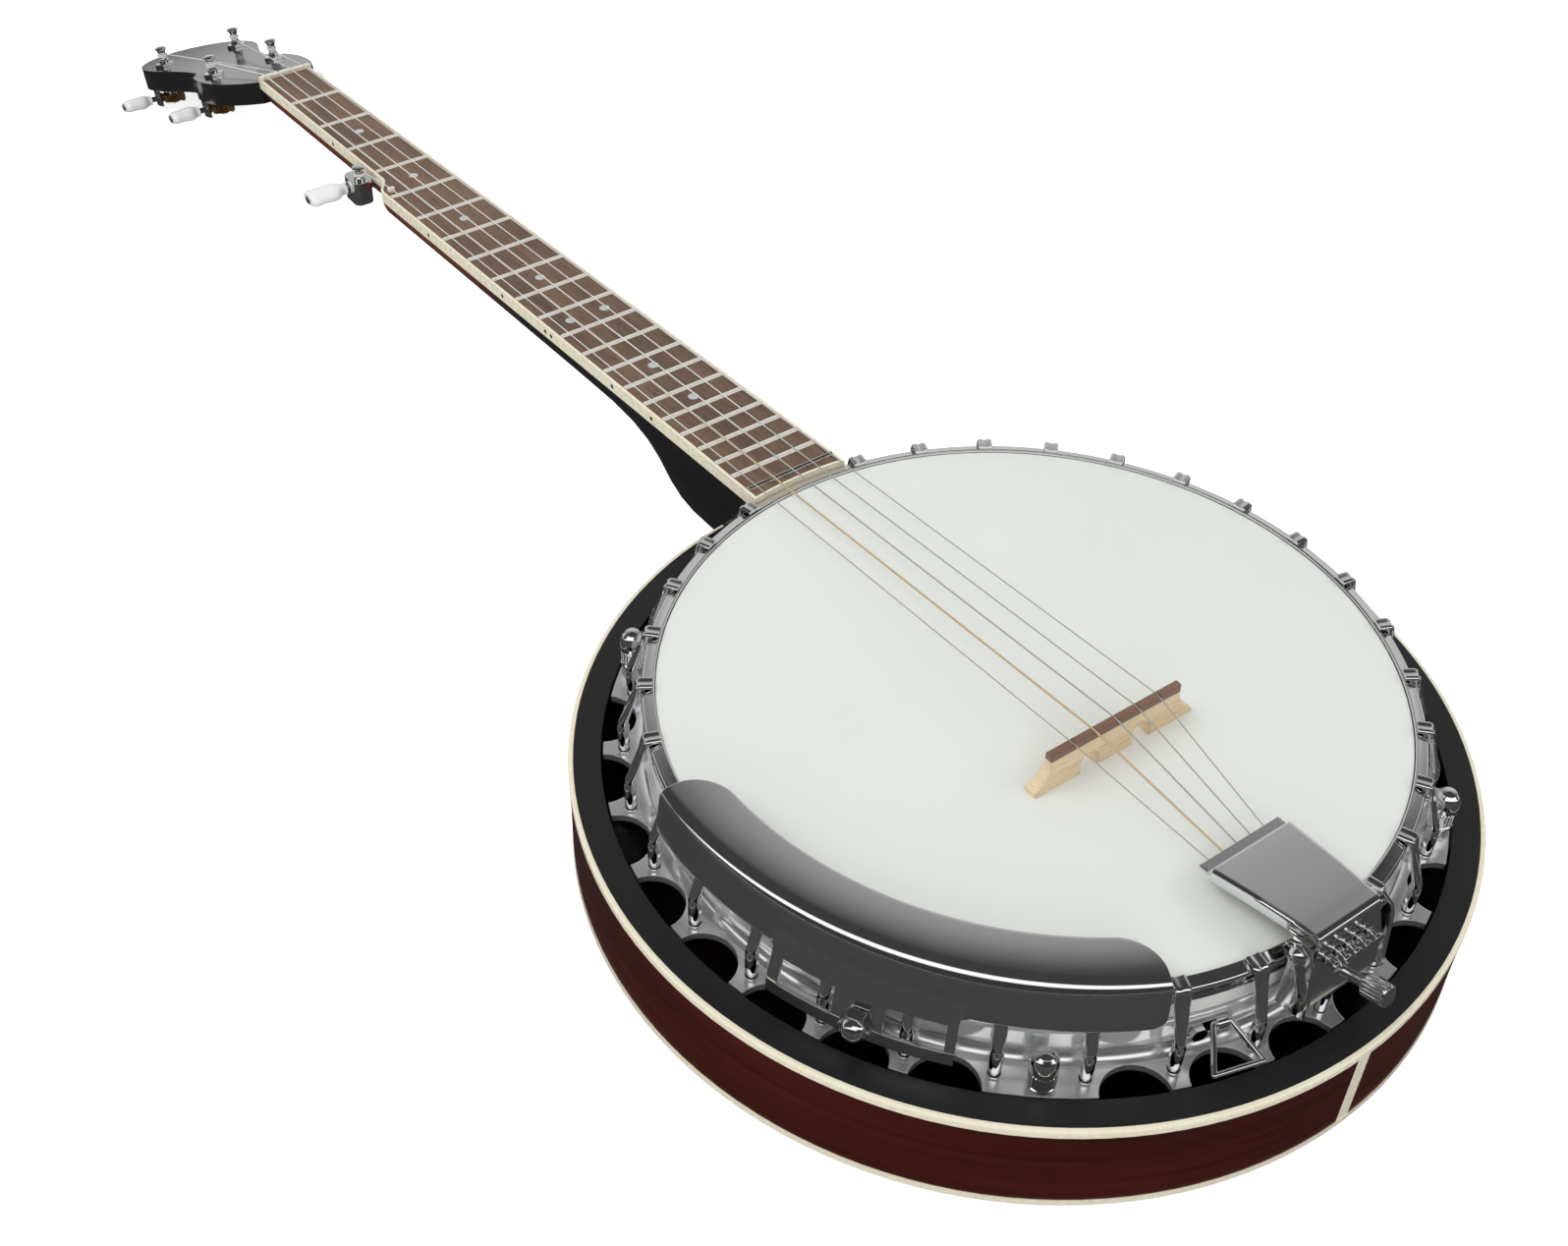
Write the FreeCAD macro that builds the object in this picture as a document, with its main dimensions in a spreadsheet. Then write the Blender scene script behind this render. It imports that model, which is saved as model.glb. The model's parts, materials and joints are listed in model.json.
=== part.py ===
import FreeCAD, Part
import math
import os
import Sketcher

# Five-string resonator banjo.  Frame: the origin is the centre of the flat resonator back,
# +Z points out of the head, +Y points along the neck and +X points to the first string.
# All lengths are millimetres and all angles are degrees.

os.makedirs("parts", exist_ok=True)
doc = FreeCAD.newDocument("banjo")
Vector = FreeCAD.Vector
X_AXIS = Vector(1, 0, 0)
Y_AXIS = Vector(0, 1, 0)
Z_AXIS = Vector(0, 0, 1)
ORIGIN = Vector(0, 0, 0)

# ---------------------------------------------------------------- driving dimensions

DIMENSIONS = [
    ("scale_length", 666.75),       # nut to bridge, 26.25 inches
    ("neck_slope", 3.45),           # the fretboard falls this much towards the nut
    ("nut_dist", 627.8),            # nut face along +Y from the pot axis
    ("nut_height", 47.0),           # fretboard surface at the nut
    ("board_half", 18.5),           # half width of the bound fretboard at the nut
    ("board_taper", 0.0088),        # growth of that half width per millimetre
    ("board_step", 6.6),            # the fifth string shoulder
    ("board_thick", 5.5),
    ("board_cut_radius", 143.7),    # the fretboard end follows the hoop
    ("bind_wide", 1.35),
    ("end_bind_wide", 1.1),
    ("back_thick", 3.6),
    ("resonator_radius", 170.9),
    ("resonator_high", 42.9),
    ("side_inner", 164.0),
    ("side_outer", 170.6),
    ("bind_inner", 169.0),
    ("bind_high", 3.3),
    ("rim_ring_inner", 158.7),
    ("strip_wide", 6.0),
    ("heel_gap_half", 19.4),        # cut-out for the heel
    ("heel_bottom", 28.0),
    ("pot_inner", 130.0),
    ("pot_outer", 141.8),
    ("pot_neck", 137.5),            # outside of the rim under the head collar
    ("pot_low_outer", 137.0),
    ("pot_bottom", 29.0),
    ("pot_shoulder", 56.2),
    ("pot_top", 73.7),
    ("cove_radius", 5.2),
    ("flange_low", 39.6),
    ("flange_high", 42.6),
    ("flange_radius", 157.8),
    ("scallop_radius", 12.3),
    ("scallop_centre", 158.6),
    ("hook_radius", 150.0),
    ("hook_hole", 2.3),
    ("hook_shank", 2.0),
    ("hook_half", 2.9),             # half width of the hook's flat part
    ("hook_bend", 55.0),            # the flat part turns into the round shank here
    ("hook_end", 31.0),
    ("hook_pitch", 11.25),
    ("screw_circle", 153.6),
    ("screw_angle", 39.375),        # resonator screws either side of the neck and tail
    ("screw_hole", 2.6),
    ("film_thick", 0.5),
    ("collar_low", 58.6),           # the film folds outward here, round the flesh hoop
    ("collar_top", 67.4),
    ("collar_outer", 141.6),
    ("hoop_inner", 138.2),
    ("hoop_outer", 143.3),
    ("hoop_band_outer", 141.6),
    ("hoop_bead_low", 70.4),
    ("hoop_top", 75.3),
    ("bridge_dist", 41.2),
    ("bridge_top_high", 90.2),
    ("string_pitch", 10.3),
    ("rod_radius", 4.0),
    ("rod_upper", 50.0),
    ("rod_lower", 34.6),
    ("bolt_radius", 3.0),
    ("head_tilt", 17.6),            # peghead face against the horizontal
    ("head_dist", 631.2),
    ("head_height", 45.1),
    ("head_thick", 12.0),
    ("head_centre", 1.2),
    ("running_gap", 0.05),
]

sheet = doc.addObject("Spreadsheet::Sheet", "dims")
for row, (alias, number) in enumerate(DIMENSIONS, start=1):
    sheet.set("A%d" % row, alias)
    sheet.set("B%d" % row, str(number))
    sheet.setAlias("B%d" % row, alias)
doc.recompute()


def size(alias):
    """One driving dimension, read from the spreadsheet."""
    return float(sheet.get(alias))


def worked_out(expression):
    """The present value of an expression over the spreadsheet's cells."""
    return float(sheet.evalExpression(expression))


def polar(radius, angle, height=0.0):
    """A point at a clock angle measured from +Y towards +X."""
    turn = math.radians(angle)
    return Vector(radius * math.sin(turn), radius * math.cos(turn), height)


# ---------------------------------------------------------------- ways of making a piece

subparts = []


def keep(thing, label):
    thing.Label = label
    subparts.append(thing)
    return thing


def new_body(label, own_node=True):
    body = doc.addObject("PartDesign::Body", label)
    body.Label = label
    return keep(body, label) if own_node else body


def origin_plane(body, role):
    for feature in body.Origin.OriginFeatures:
        if feature.Role == role:
            return feature
    raise ValueError(role)


def new_sketch(body, name, role):
    sketch = body.newObject("Sketcher::SketchObject", name)
    sketch.AttachmentSupport = (origin_plane(body, role), [""])
    sketch.MapMode = "FlatFace"
    return sketch


def pin_point(sketch, index, position, across, up):
    """Hold one sketch point with two expressions measured from the sketch origin."""
    for kind, expression, axis in (("DistanceX", across, -2), ("DistanceY", up, -1)):
        number = worked_out(expression)
        if abs(number) < 1e-9:
            sketch.addConstraint(Sketcher.Constraint("PointOnObject", index, position, axis))
            continue
        place = Sketcher.Constraint(kind, -1, 1, index, position, number)
        made = sketch.addConstraint(place)
        sketch.setExpression("Constraints[%d]" % made, expression)


def draw_outline(sketch, corners):
    """A closed outline of straight lines through corners given as expressions."""
    places = [Vector(worked_out(x), worked_out(y), 0) for x, y in corners]
    count = len(corners)
    for index in range(count):
        line = Part.LineSegment(places[index], places[(index + 1) % count])
        sketch.addGeometry(line, False)
    for index in range(count):
        joined = Sketcher.Constraint("Coincident", index, 2, (index + 1) % count, 1)
        sketch.addConstraint(joined)
    for index, (across, up) in enumerate(corners):
        pin_point(sketch, index, 1, across, up)


def draw_circle(sketch, across, up, radius):
    centre = Vector(worked_out(across), worked_out(up), 0)
    index = sketch.addGeometry(Part.Circle(centre, Z_AXIS, worked_out(radius)), False)
    pin_point(sketch, index, 3, across, up)
    made = sketch.addConstraint(Sketcher.Constraint("Radius", index, worked_out(radius)))
    sketch.setExpression("Constraints[%d]" % made, radius)


def turned_body(label, corners, own_node=True):
    """A body turned about Z from a radius and height profile."""
    body = new_body(label, own_node)
    sketch = new_sketch(body, label + "_profile", "XZ_Plane")
    draw_outline(sketch, corners)
    turning = body.newObject("PartDesign::Revolution", label + "_turning")
    turning.Profile = sketch
    turning.ReferenceAxis = (sketch, ["V_Axis"])
    turning.Angle = 360
    doc.recompute()
    return body


def round_circles(body, name, radius, wanted):
    """Fillet the circular edges of the body's tip that match a (radius, height) pair."""
    tip = body.Tip
    edges = []
    for number, edge in enumerate(tip.Shape.Edges, start=1):
        curve = edge.Curve
        if not isinstance(curve, Part.Circle):
            continue
        for ring, height in wanted:
            same_ring = abs(curve.Radius - worked_out(ring)) < 0.01
            if same_ring and abs(curve.Center.z - worked_out(height)) < 0.01:
                edges.append("Edge%d" % number)
    rounding = body.newObject("PartDesign::Fillet", name)
    rounding.Base = (tip, edges)
    rounding.Radius = worked_out(radius)
    rounding.setExpression("Radius", radius)
    doc.recompute()
    return rounding


def pocket(body, sketch, name, reverse=False, both_ways=False):
    """Cut a sketch through the whole body, and make sure that it did cut."""
    before = body.Tip.Shape.Volume
    cut = body.newObject("PartDesign::Pocket", name)
    cut.Profile = sketch
    cut.Type = "ThroughAll"
    cut.Reversed = reverse
    if both_ways:
        cut.SideType = "Symmetric"
    doc.recompute()
    if cut.Shape.Volume > before - 0.5:
        raise ValueError(name + " cuts nothing")
    return cut


def heel_cut(body):
    """The opening in the resonator's edge that lets the heel in."""
    sketch = new_sketch(body, body.Name + "_heel_outline", "XZ_Plane")
    top = "dims.resonator_high + 2"
    corners = [("-dims.heel_gap_half", "dims.heel_bottom - 0.5"),
               ("dims.heel_gap_half", "dims.heel_bottom - 0.5"),
               ("dims.heel_gap_half", top), ("-dims.heel_gap_half", top)]
    draw_outline(sketch, corners)
    return pocket(body, sketch, body.Name + "_heel_cut")


def shape_part(label, shape, placement=None):
    feature = doc.addObject("Part::Feature", label)
    feature.Shape = shape
    if placement is not None:
        feature.Placement = placement
    return keep(feature, label)


def compound(shapes):
    return Part.makeCompound(shapes)


def around(shape, angle):
    """A copy of a shape turned clockwise about the pot axis, seen from above."""
    copy = shape.copy()
    copy.rotate(ORIGIN, Z_AXIS, -angle)
    return copy


def rod(start, end, radius):
    along = end.sub(start)
    return Part.makeCylinder(radius, along.Length, start, along)


def block(low, high):
    span = high.sub(low)
    return Part.makeBox(span.x, span.y, span.z, low)


def ring(inner, outer, low, high):
    whole = Part.makeCylinder(outer, high - low, Vector(0, 0, low))
    return whole.cut(Part.makeCylinder(inner, high - low, Vector(0, 0, low)))


def flat_face(points):
    return Part.Face(Part.makePolygon(points + [points[0]]))


def prism(points, along):
    return flat_face(points).extrude(along)


def lathe(profile, start, direction):
    """A solid of revolution from (radius, distance) pairs along a direction."""
    points = [Vector(radius, 0, distance) for radius, distance in profile]
    solid = flat_face(points).revolve(ORIGIN, Z_AXIS, 360)
    turn = FreeCAD.Rotation(Z_AXIS, direction)
    solid.Placement = FreeCAD.Placement(start, turn)
    return solid


def hexagon(across_flats, height, start, direction):
    corner = across_flats / math.sqrt(3)
    points = []
    for number in range(6):
        turn = math.radians(60 * number)
        points.append(Vector(corner * math.cos(turn), corner * math.sin(turn), 0))
    solid = prism(points, Vector(0, 0, height))
    solid.Placement = FreeCAD.Placement(start, FreeCAD.Rotation(Z_AXIS, direction))
    return solid


# ---------------------------------------------------------------- shared places

SLOPE = size("neck_slope")
NUT_PLACE = Vector(0, size("nut_dist"), size("nut_height"))
NECK_FRAME = FreeCAD.Placement(NUT_PLACE, FreeCAD.Rotation(X_AXIS, -SLOPE))
HEAD_PLACE = Vector(0, size("head_dist"), size("head_height"))
HEAD_FRAME = FreeCAD.Placement(HEAD_PLACE, FreeCAD.Rotation(X_AXIS, -size("head_tilt")))
HOOK_NUMBERS = [number for number in range(1, 32) if number != 16]
SCREW_ANGLES = [size("screw_angle"), 180 - size("screw_angle"),
                180 + size("screw_angle"), 360 - size("screw_angle")]
BOARD_THICK = size("board_thick")
STEP_START = 160.0                  # distance from the nut where the shoulder begins
STEP_END = 146.0


def fret_distance(number):
    return size("scale_length") * (1 - 2 ** (-number / 12.0))


def treble_half(distance):
    return size("board_half") + size("board_taper") * distance


def bass_half(distance):
    """Bass half width, which steps in above the fifth string's tuner."""
    wide = treble_half(distance)
    if distance >= STEP_START:
        return wide
    if distance <= STEP_END:
        return wide - size("board_step")
    part = (STEP_START - distance) / (STEP_START - STEP_END)
    ease = part * part * (3 - 2 * part)
    return wide - size("board_step") * ease


def into_frame(shape, frame):
    """Bring a shape drawn in the banjo's frame into a local frame."""
    copy = shape.copy()
    copy.transformShape(frame.inverse().toMatrix())
    return copy


def pot_cylinder(radius, low, high):
    return Part.makeCylinder(radius, high - low, Vector(0, 0, low))


# ---------------------------------------------------------------- resonator

def make_resonator():
    turned_body("resonator_back", [
        ("0", "0"), ("dims.bind_inner", "0"),
        ("dims.bind_inner", "dims.back_thick"), ("0", "dims.back_thick")])
    wall = turned_body("resonator_wall", [
        ("dims.side_inner", "dims.back_thick"), ("dims.side_outer", "dims.back_thick"),
        ("dims.side_outer", "dims.resonator_high - dims.bind_high"),
        ("dims.side_inner", "dims.resonator_high - dims.bind_high")])
    heel_cut(wall)
    groove = new_sketch(wall, "tail_strip_groove", "XZ_Plane")
    low = "dims.back_thick"
    high = "dims.resonator_high - dims.bind_high"
    draw_outline(groove, [
        ("-dims.strip_wide / 2", low), ("dims.strip_wide / 2", low),
        ("dims.strip_wide / 2", high), ("-dims.strip_wide / 2", high)])
    strip_cut = wall.newObject("PartDesign::Pocket", "tail_strip_cut")
    strip_cut.Profile = groove
    strip_cut.Type = "Length"
    strip_cut.Reversed = True
    strip_cut.Length = 200
    doc.recompute()
    top_ring = turned_body("resonator_rim", [
        ("dims.rim_ring_inner", "dims.resonator_high - dims.bind_high"),
        ("dims.bind_inner", "dims.resonator_high - dims.bind_high"),
        ("dims.bind_inner", "dims.resonator_high"),
        ("dims.rim_ring_inner", "dims.resonator_high")])
    heel_cut(top_ring)
    make_binding()
    shape_part("resonator_lugs", compound([around(make_lug(), a) for a in SCREW_ANGLES]))


def make_binding():
    """Two round bands and the upright strip at the tail, kept together as one node."""
    pieces = []
    for name, low, high in (("binding_top",
                             "dims.resonator_high - dims.bind_high", "dims.resonator_high"),
                            ("binding_bottom", "0", "dims.back_thick")):
        band = turned_body(name, [
            ("dims.bind_inner", low), ("dims.resonator_radius", low),
            ("dims.resonator_radius", high), ("dims.bind_inner", high)], own_node=False)
        edge_height = high if name.endswith("top") else low
        round_circles(band, name + "_round", "1.1", [("dims.resonator_radius", edge_height)])
        if name.endswith("top"):
            heel_cut(band)
        pieces.append(band)
    half = size("strip_wide") / 2
    low = size("back_thick")
    high = size("resonator_high") - size("bind_high")
    strip = doc.addObject("Part::Feature", "binding_strip")
    wall = ring(size("side_inner"), size("side_outer"), low, high)
    strip.Shape = wall.common(block(Vector(-half, -200, low), Vector(half, 0, high)))
    pieces.append(strip)
    bands = doc.addObject("Part::Compound", "resonator_binding")
    bands.Links = pieces
    keep(bands, "resonator_binding")


def make_lug():
    """A threaded block on the inside of the wall for one resonator screw."""
    lug = block(Vector(-6, 146.5, 31), Vector(6, 170, 38.8))
    lug = lug.common(pot_cylinder(size("side_inner"), 30, 40))
    hole = rod(Vector(0, size("screw_circle"), 30), Vector(0, size("screw_circle"), 40), 2.05)
    return lug.cut(hole)


# ---------------------------------------------------------------- pot

SCALLOP_RUNS = [(50.625, 8), (151.875, 6), (230.625, 8), (331.875, 6)]
HOOK_RUNS = [(11.25, 15), (191.25, 15)]


def make_pot():
    pot = turned_body("rim_flange", [
        ("dims.pot_inner", "dims.pot_bottom"), ("dims.pot_low_outer", "dims.pot_bottom"),
        ("dims.pot_low_outer", "dims.flange_low"), ("dims.flange_radius", "dims.flange_low"),
        ("dims.flange_radius", "dims.flange_high"), ("dims.pot_outer", "dims.flange_high"),
        ("dims.pot_outer", "dims.pot_shoulder"), ("dims.pot_neck", "dims.pot_shoulder"),
        ("dims.pot_neck", "dims.pot_top"), ("dims.pot_inner", "dims.pot_top")])
    round_circles(pot, "flange_cove", "dims.cove_radius", [("dims.pot_outer", "dims.flange_high")])
    round_circles(pot, "shoulder_round", "1.8", [("dims.pot_outer", "dims.pot_shoulder")])
    for run, (first, count) in enumerate(SCALLOP_RUNS):
        patterned_holes(pot, "scallop%d" % run, first, count,
                        "dims.scallop_centre", "dims.scallop_radius")
    for run, (first, count) in enumerate(HOOK_RUNS):
        patterned_holes(pot, "hook_holes%d" % run, first, count,
                        "dims.hook_radius", "dims.hook_hole")
    screws = new_sketch(pot, "screw_circles", "XY_Plane")
    for angle in SCREW_ANGLES:
        draw_circle(screws, "dims.screw_circle * sin(%s deg)" % angle,
                    "dims.screw_circle * cos(%s deg)" % angle, "dims.screw_hole")
    pocket(pot, screws, "screw_holes", reverse=True)
    bolts = new_sketch(pot, "bolt_circles", "XZ_Plane")
    draw_circle(bolts, "0", "dims.rod_upper", "dims.bolt_radius + 0.1")
    draw_circle(bolts, "0", "dims.rod_lower", "dims.bolt_radius + 0.1")
    pocket(pot, bolts, "bolt_holes", both_ways=True)
    tail = new_sketch(pot, "tail_bolt_circle", "XY_Plane")
    draw_circle(tail, "0", "-dims.hook_radius", "dims.hook_hole")
    pocket(pot, tail, "tail_bolt_hole", reverse=True)


def patterned_holes(body, name, first, count, circle, radius):
    """One round cut, repeated at the hook pitch."""
    sketch = new_sketch(body, name + "_circle", "XY_Plane")
    draw_circle(sketch, "%s * sin(%s deg)" % (circle, first),
                "%s * cos(%s deg)" % (circle, first), radius)
    cut = pocket(body, sketch, name + "_cut", reverse=True)
    before = body.Tip.Shape.Volume
    pattern = body.newObject("PartDesign::PolarPattern", name + "_pattern")
    pattern.Originals = [cut]
    pattern.Axis = (sketch, ["N_Axis"])
    pattern.Reversed = True
    pattern.Mode = "Extent"
    pattern.Angle = size("hook_pitch") * (count - 1)
    pattern.setExpression("Angle", "dims.hook_pitch * %d" % (count - 1))
    pattern.Occurrences = count
    body.Tip = pattern
    doc.recompute()
    if pattern.Shape.Volume > before - 0.5:
        raise ValueError(name + " pattern cuts nothing")


def make_head_and_hoops():
    """The film folds round the flesh hoop, and the tension hoop presses on both."""
    film_out = "dims.pot_neck + dims.film_thick"
    head_high = "dims.pot_top + dims.film_thick"
    fold_in = "dims.collar_outer - dims.film_thick"
    fold_floor = "dims.collar_low + dims.film_thick"
    head = turned_body("head", [
        ("0", "dims.pot_top"), ("dims.pot_neck", "dims.pot_top"),
        ("dims.pot_neck", "dims.collar_low"), ("dims.collar_outer", "dims.collar_low"),
        ("dims.collar_outer", "dims.collar_top"), (fold_in, "dims.collar_top"),
        (fold_in, fold_floor), (film_out, fold_floor),
        (film_out, head_high), ("0", head_high)])
    round_circles(head, "head_crown", "0.4", [(film_out, head_high)])
    round_circles(head, "collar_round", "0.45", [("dims.collar_outer", "dims.collar_low")])
    turned_body("flesh_hoop", [
        (film_out, fold_floor), (fold_in, fold_floor),
        (fold_in, "dims.collar_top"), (film_out, "dims.collar_top")])
    hoop = turned_body("tension_hoop", [
        ("dims.hoop_inner", "dims.collar_top"),
        ("dims.hoop_band_outer + 0.9", "dims.collar_top"),
        ("dims.hoop_band_outer + 0.9", "dims.collar_top + 1.0"),
        ("dims.hoop_band_outer", "dims.collar_top + 1.7"),
        ("dims.hoop_band_outer", "dims.hoop_bead_low"),
        ("dims.hoop_outer", "dims.hoop_bead_low + 0.8"),
        ("dims.hoop_outer", "dims.hoop_top"), ("dims.hoop_inner", "dims.hoop_top")])
    round_circles(hoop, "bead_round", "1.9",
                  [("dims.hoop_outer", "dims.hoop_top"), ("dims.hoop_inner", "dims.hoop_top")])


def make_hook():
    """One flat hook over the hoop, ending in a round threaded shank."""
    top = size("hoop_top")
    outside = size("hoop_outer")
    across = size("hook_radius")
    bend = size("hook_bend")
    side = [(138.4, top + 0.02), (138.9, top + 1.5), (outside + 0.2, top + 1.5),
            (outside + 2.0, top - 0.2), (outside + 2.5, top - 4.4), (across + 1.5, bend),
            (across - 1.3, bend), (outside + 0.9, top - 4.8), (outside + 0.08, top - 1.2),
            (outside + 0.08, top + 0.02)]
    half = size("hook_half")
    band = prism([Vector(-half - 1, r, z) for r, z in side], Vector(2 * half + 2, 0, 0))
    neck = 0.7 * half
    front = [Vector(-half, 130, top + 3), Vector(half, 130, top + 3),
             Vector(half, 130, top - 3), Vector(neck, 130, bend),
             Vector(-neck, 130, bend), Vector(-half, 130, top - 3)]
    band = band.common(prism(front, Vector(0, 30, 0)))
    shank = rod(Vector(0, across, size("hook_end")), Vector(0, across, bend + 1.5),
                size("hook_shank"))
    return band.fuse(shank)


def make_hooks():
    hook = make_hook()
    angles = [number * size("hook_pitch") for number in HOOK_NUMBERS]
    shape_part("bracket_hooks", compound([around(hook, angle) for angle in angles]))
    low = size("flange_low")
    place = Vector(0, size("hook_radius"), low - 6.0)
    nut = hexagon(7.0, 6.0, place, Z_AXIS)
    nut = nut.cut(rod(place, place.add(Vector(0, 0, 6)), size("hook_shank")))
    shape_part("bracket_nuts", compound([around(nut, angle) for angle in angles + [180]]))


def make_coordinator_rods():
    wall = size("pot_inner") - 0.1
    rods = []
    for height in (size("rod_upper"), size("rod_lower")):
        bar = rod(Vector(0, -wall, height), Vector(0, wall, height), size("rod_radius"))
        hole = size("bolt_radius")
        bar = bar.cut(rod(Vector(0, wall - 12, height), Vector(0, wall, height), hole))
        bar = bar.cut(rod(Vector(0, -wall, height), Vector(0, 12 - wall, height), hole))
        rods.append(bar)
    shape_part("coordinator_rods", compound(rods))
    studs = []
    bolts = []
    for height, outside in ((size("rod_upper"), size("pot_outer")),
                            (size("rod_lower"), size("pot_low_outer"))):
        stud_start = Vector(0, wall - 12, height)
        studs.append(rod(stud_start, Vector(0, 172, height), size("bolt_radius")))
        face = -outside - 0.45
        shank = rod(Vector(0, 12 - wall, height), Vector(0, face, height), size("bolt_radius"))
        cap = hexagon(7.0, 2.2, Vector(0, face, height), Vector(0, -1, 0))
        bolts.append(shank.fuse(cap))
    shape_part("rod_bolts", compound(studs + bolts))


# ---------------------------------------------------------------- neck

def neck_section(distance, depth, top, fullness):
    """A D-shaped section across the neck.  Fullness 0 is an oval and 1 is boxier."""
    centre = (treble_half(distance) - bass_half(distance)) / 2
    half = (treble_half(distance) + bass_half(distance)) / 2
    oval = [(0.937, 0.35), (0.70, 0.74), (0.35, 0.95)]
    boxy = [(0.90, 0.35), (0.78, 0.75), (0.60, 0.97)]
    side = []
    for (wide_a, deep_a), (wide_b, deep_b) in zip(oval, boxy):
        wide = wide_a + (wide_b - wide_a) * fullness
        deep = deep_a + (deep_b - deep_a) * fullness
        side.append((wide * half, deep * depth))
    right = [Vector(centre + wide, -distance, top - deep) for wide, deep in side]
    left = [Vector(centre - wide, -distance, top - deep) for wide, deep in reversed(side)]
    corner_right = Vector(centre + half, -distance, top)
    corner_left = Vector(centre - half, -distance, top)
    bottom = Vector(centre, -distance, top - depth)
    curve = Part.BSplineCurve()
    curve.interpolate([corner_right] + right + [bottom] + left + [corner_left])
    lid = Part.LineSegment(corner_left, corner_right)
    return Part.Wire([curve.toShape(), lid.toShape()])


NECK_STATIONS = [(-17, 12.6, 0), (0, 11.6, 0), (70, 12.4, 0), (146, 13.2, 0), (149, 13.3, 0),
                 (153, 13.3, 0), (157, 13.4, 0), (160, 13.4, 0), (250, 14.8, 0),
                 (340, 16.0, 0), (372, 17.0, 0.1), (386, 19.5, 0.3), (398, 24.0, 0.6),
                 (406, 29.5, 0.8), (413, 35.5, 1), (420, 39.5, 1), (428, 41.5, 1),
                 (500, 45.0, 1)]


def headstock_outline(inset=0.0):
    """The notched peghead outline as one closed wire in the peghead's plane."""
    lower = [(15.8, 0), (22.0, 9), (28.6, 27), (30.8, 46), (28.6, 65)]
    upper = [(22.6, 75), (23.8, 88), (29.6, 107), (35.2, 128), (31.2, 147), (19.5, 159.5)]
    tip = (0, 165.5)
    centre = size("head_centre")

    def curve(points, side):
        places = []
        for across, along in points:
            shift = 2.2 * max(0.0, 1 - along / 27.0)
            middle = centre + shift
            places.append(Vector(middle + side * (across - inset), along, 0))
        spline = Part.BSplineCurve()
        spline.interpolate(places)
        return spline.toShape()

    right_low = curve(lower, 1)
    left_low = curve(lower, -1)
    crown = list(upper) + [tip] + [(-across, along) for across, along in reversed(upper)]
    crown_edge = curve([(across, along) for across, along in crown], 1)
    ends = [right_low.Vertexes[0].Point, right_low.Vertexes[-1].Point,
            crown_edge.Vertexes[0].Point, crown_edge.Vertexes[-1].Point,
            left_low.Vertexes[-1].Point, left_low.Vertexes[0].Point]
    notch_right = Part.LineSegment(ends[1], ends[2]).toShape()
    notch_left = Part.LineSegment(ends[3], ends[4]).toShape()
    foot = Part.LineSegment(ends[5], ends[0]).toShape()
    edges = [right_low, notch_right, crown_edge, notch_left, left_low, foot]
    return Part.Wire(Part.__sortEdges__(edges))


POSTS = [(-19.0, 55.0), (-23.3, 127.0), (23.3, 127.0), (19.0, 55.0)]
TUNER_NAMES = ["4", "3", "2", "1"]
WORM_OFFSET = 9.2
FERRULE_OUT = 4.6
POST_RADIUS = 3.0


def post_place(number):
    across, along = POSTS[number]
    return across + size("head_centre"), along


def make_neck():
    shaft_wires = [neck_section(d, depth, -BOARD_THICK, full)
                   for d, depth, full in NECK_STATIONS]
    shaft = Part.makeLoft(shaft_wires, True, True)
    shaft.Placement = NECK_FRAME
    peghead = Part.Face(headstock_outline()).extrude(Vector(0, 0, -size("head_thick")))
    for number in range(len(POSTS)):
        x, y = post_place(number)
        hole = rod(Vector(x, y, -20), Vector(x, y, 5), FERRULE_OUT)
        peghead = peghead.cut(hole)
    peghead.Placement = HEAD_FRAME
    neck = shaft.fuse(peghead)
    neck = neck.cut(pot_cylinder(size("hoop_outer") + 0.9, size("pot_shoulder") - 0.2, 90))
    neck = neck.cut(pot_cylinder(size("pot_outer") + 0.1, size("flange_high"), 60))
    cove = size("cove_radius")
    cove_cut = pot_cylinder(size("pot_outer") + cove + 0.3, size("flange_high"),
                            size("flange_high") + cove + 0.3)
    neck = neck.cut(cove_cut)
    neck = neck.cut(pot_cylinder(size("flange_radius") + 0.5, size("flange_low") - 0.2,
                                 size("flange_high") + 0.2))
    neck = neck.cut(pot_cylinder(size("pot_low_outer") + 0.2, 0, size("flange_low") + 1))
    below = block(Vector(-60, 100, 0), Vector(60, 230, size("heel_bottom")))
    neck = neck.cut(below)
    inside = block(Vector(-60, -100, -50), Vector(60, 120, 120))
    neck = neck.cut(inside)
    for height in (size("rod_upper"), size("rod_lower")):
        stud = rod(Vector(0, 120, height), Vector(0, 172, height), size("bolt_radius"))
        neck = neck.cut(stud)
    channel = truss_channel()
    channel.Placement = NECK_FRAME
    neck = neck.cut(channel)
    seat = block(Vector(-bass_half(0) - 6, 0, -BOARD_THICK),
                 Vector(treble_half(0) + 6, NUT_THICK, NUT_TOP))
    seat.Placement = NECK_FRAME
    neck = neck.cut(seat)
    spike_start, spike_end = fifth_spike()
    neck = neck.cut(rod(spike_start, spike_end, SPIKE_RADIUS))
    solids = sorted(neck.Solids, key=lambda solid: -solid.Volume)
    shape_part("neck", solids[0])


def truss_channel():
    return rod(Vector(0, -380, -BOARD_THICK - 3.6), Vector(0, 6, -BOARD_THICK - 3.6), 3.0)


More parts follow.
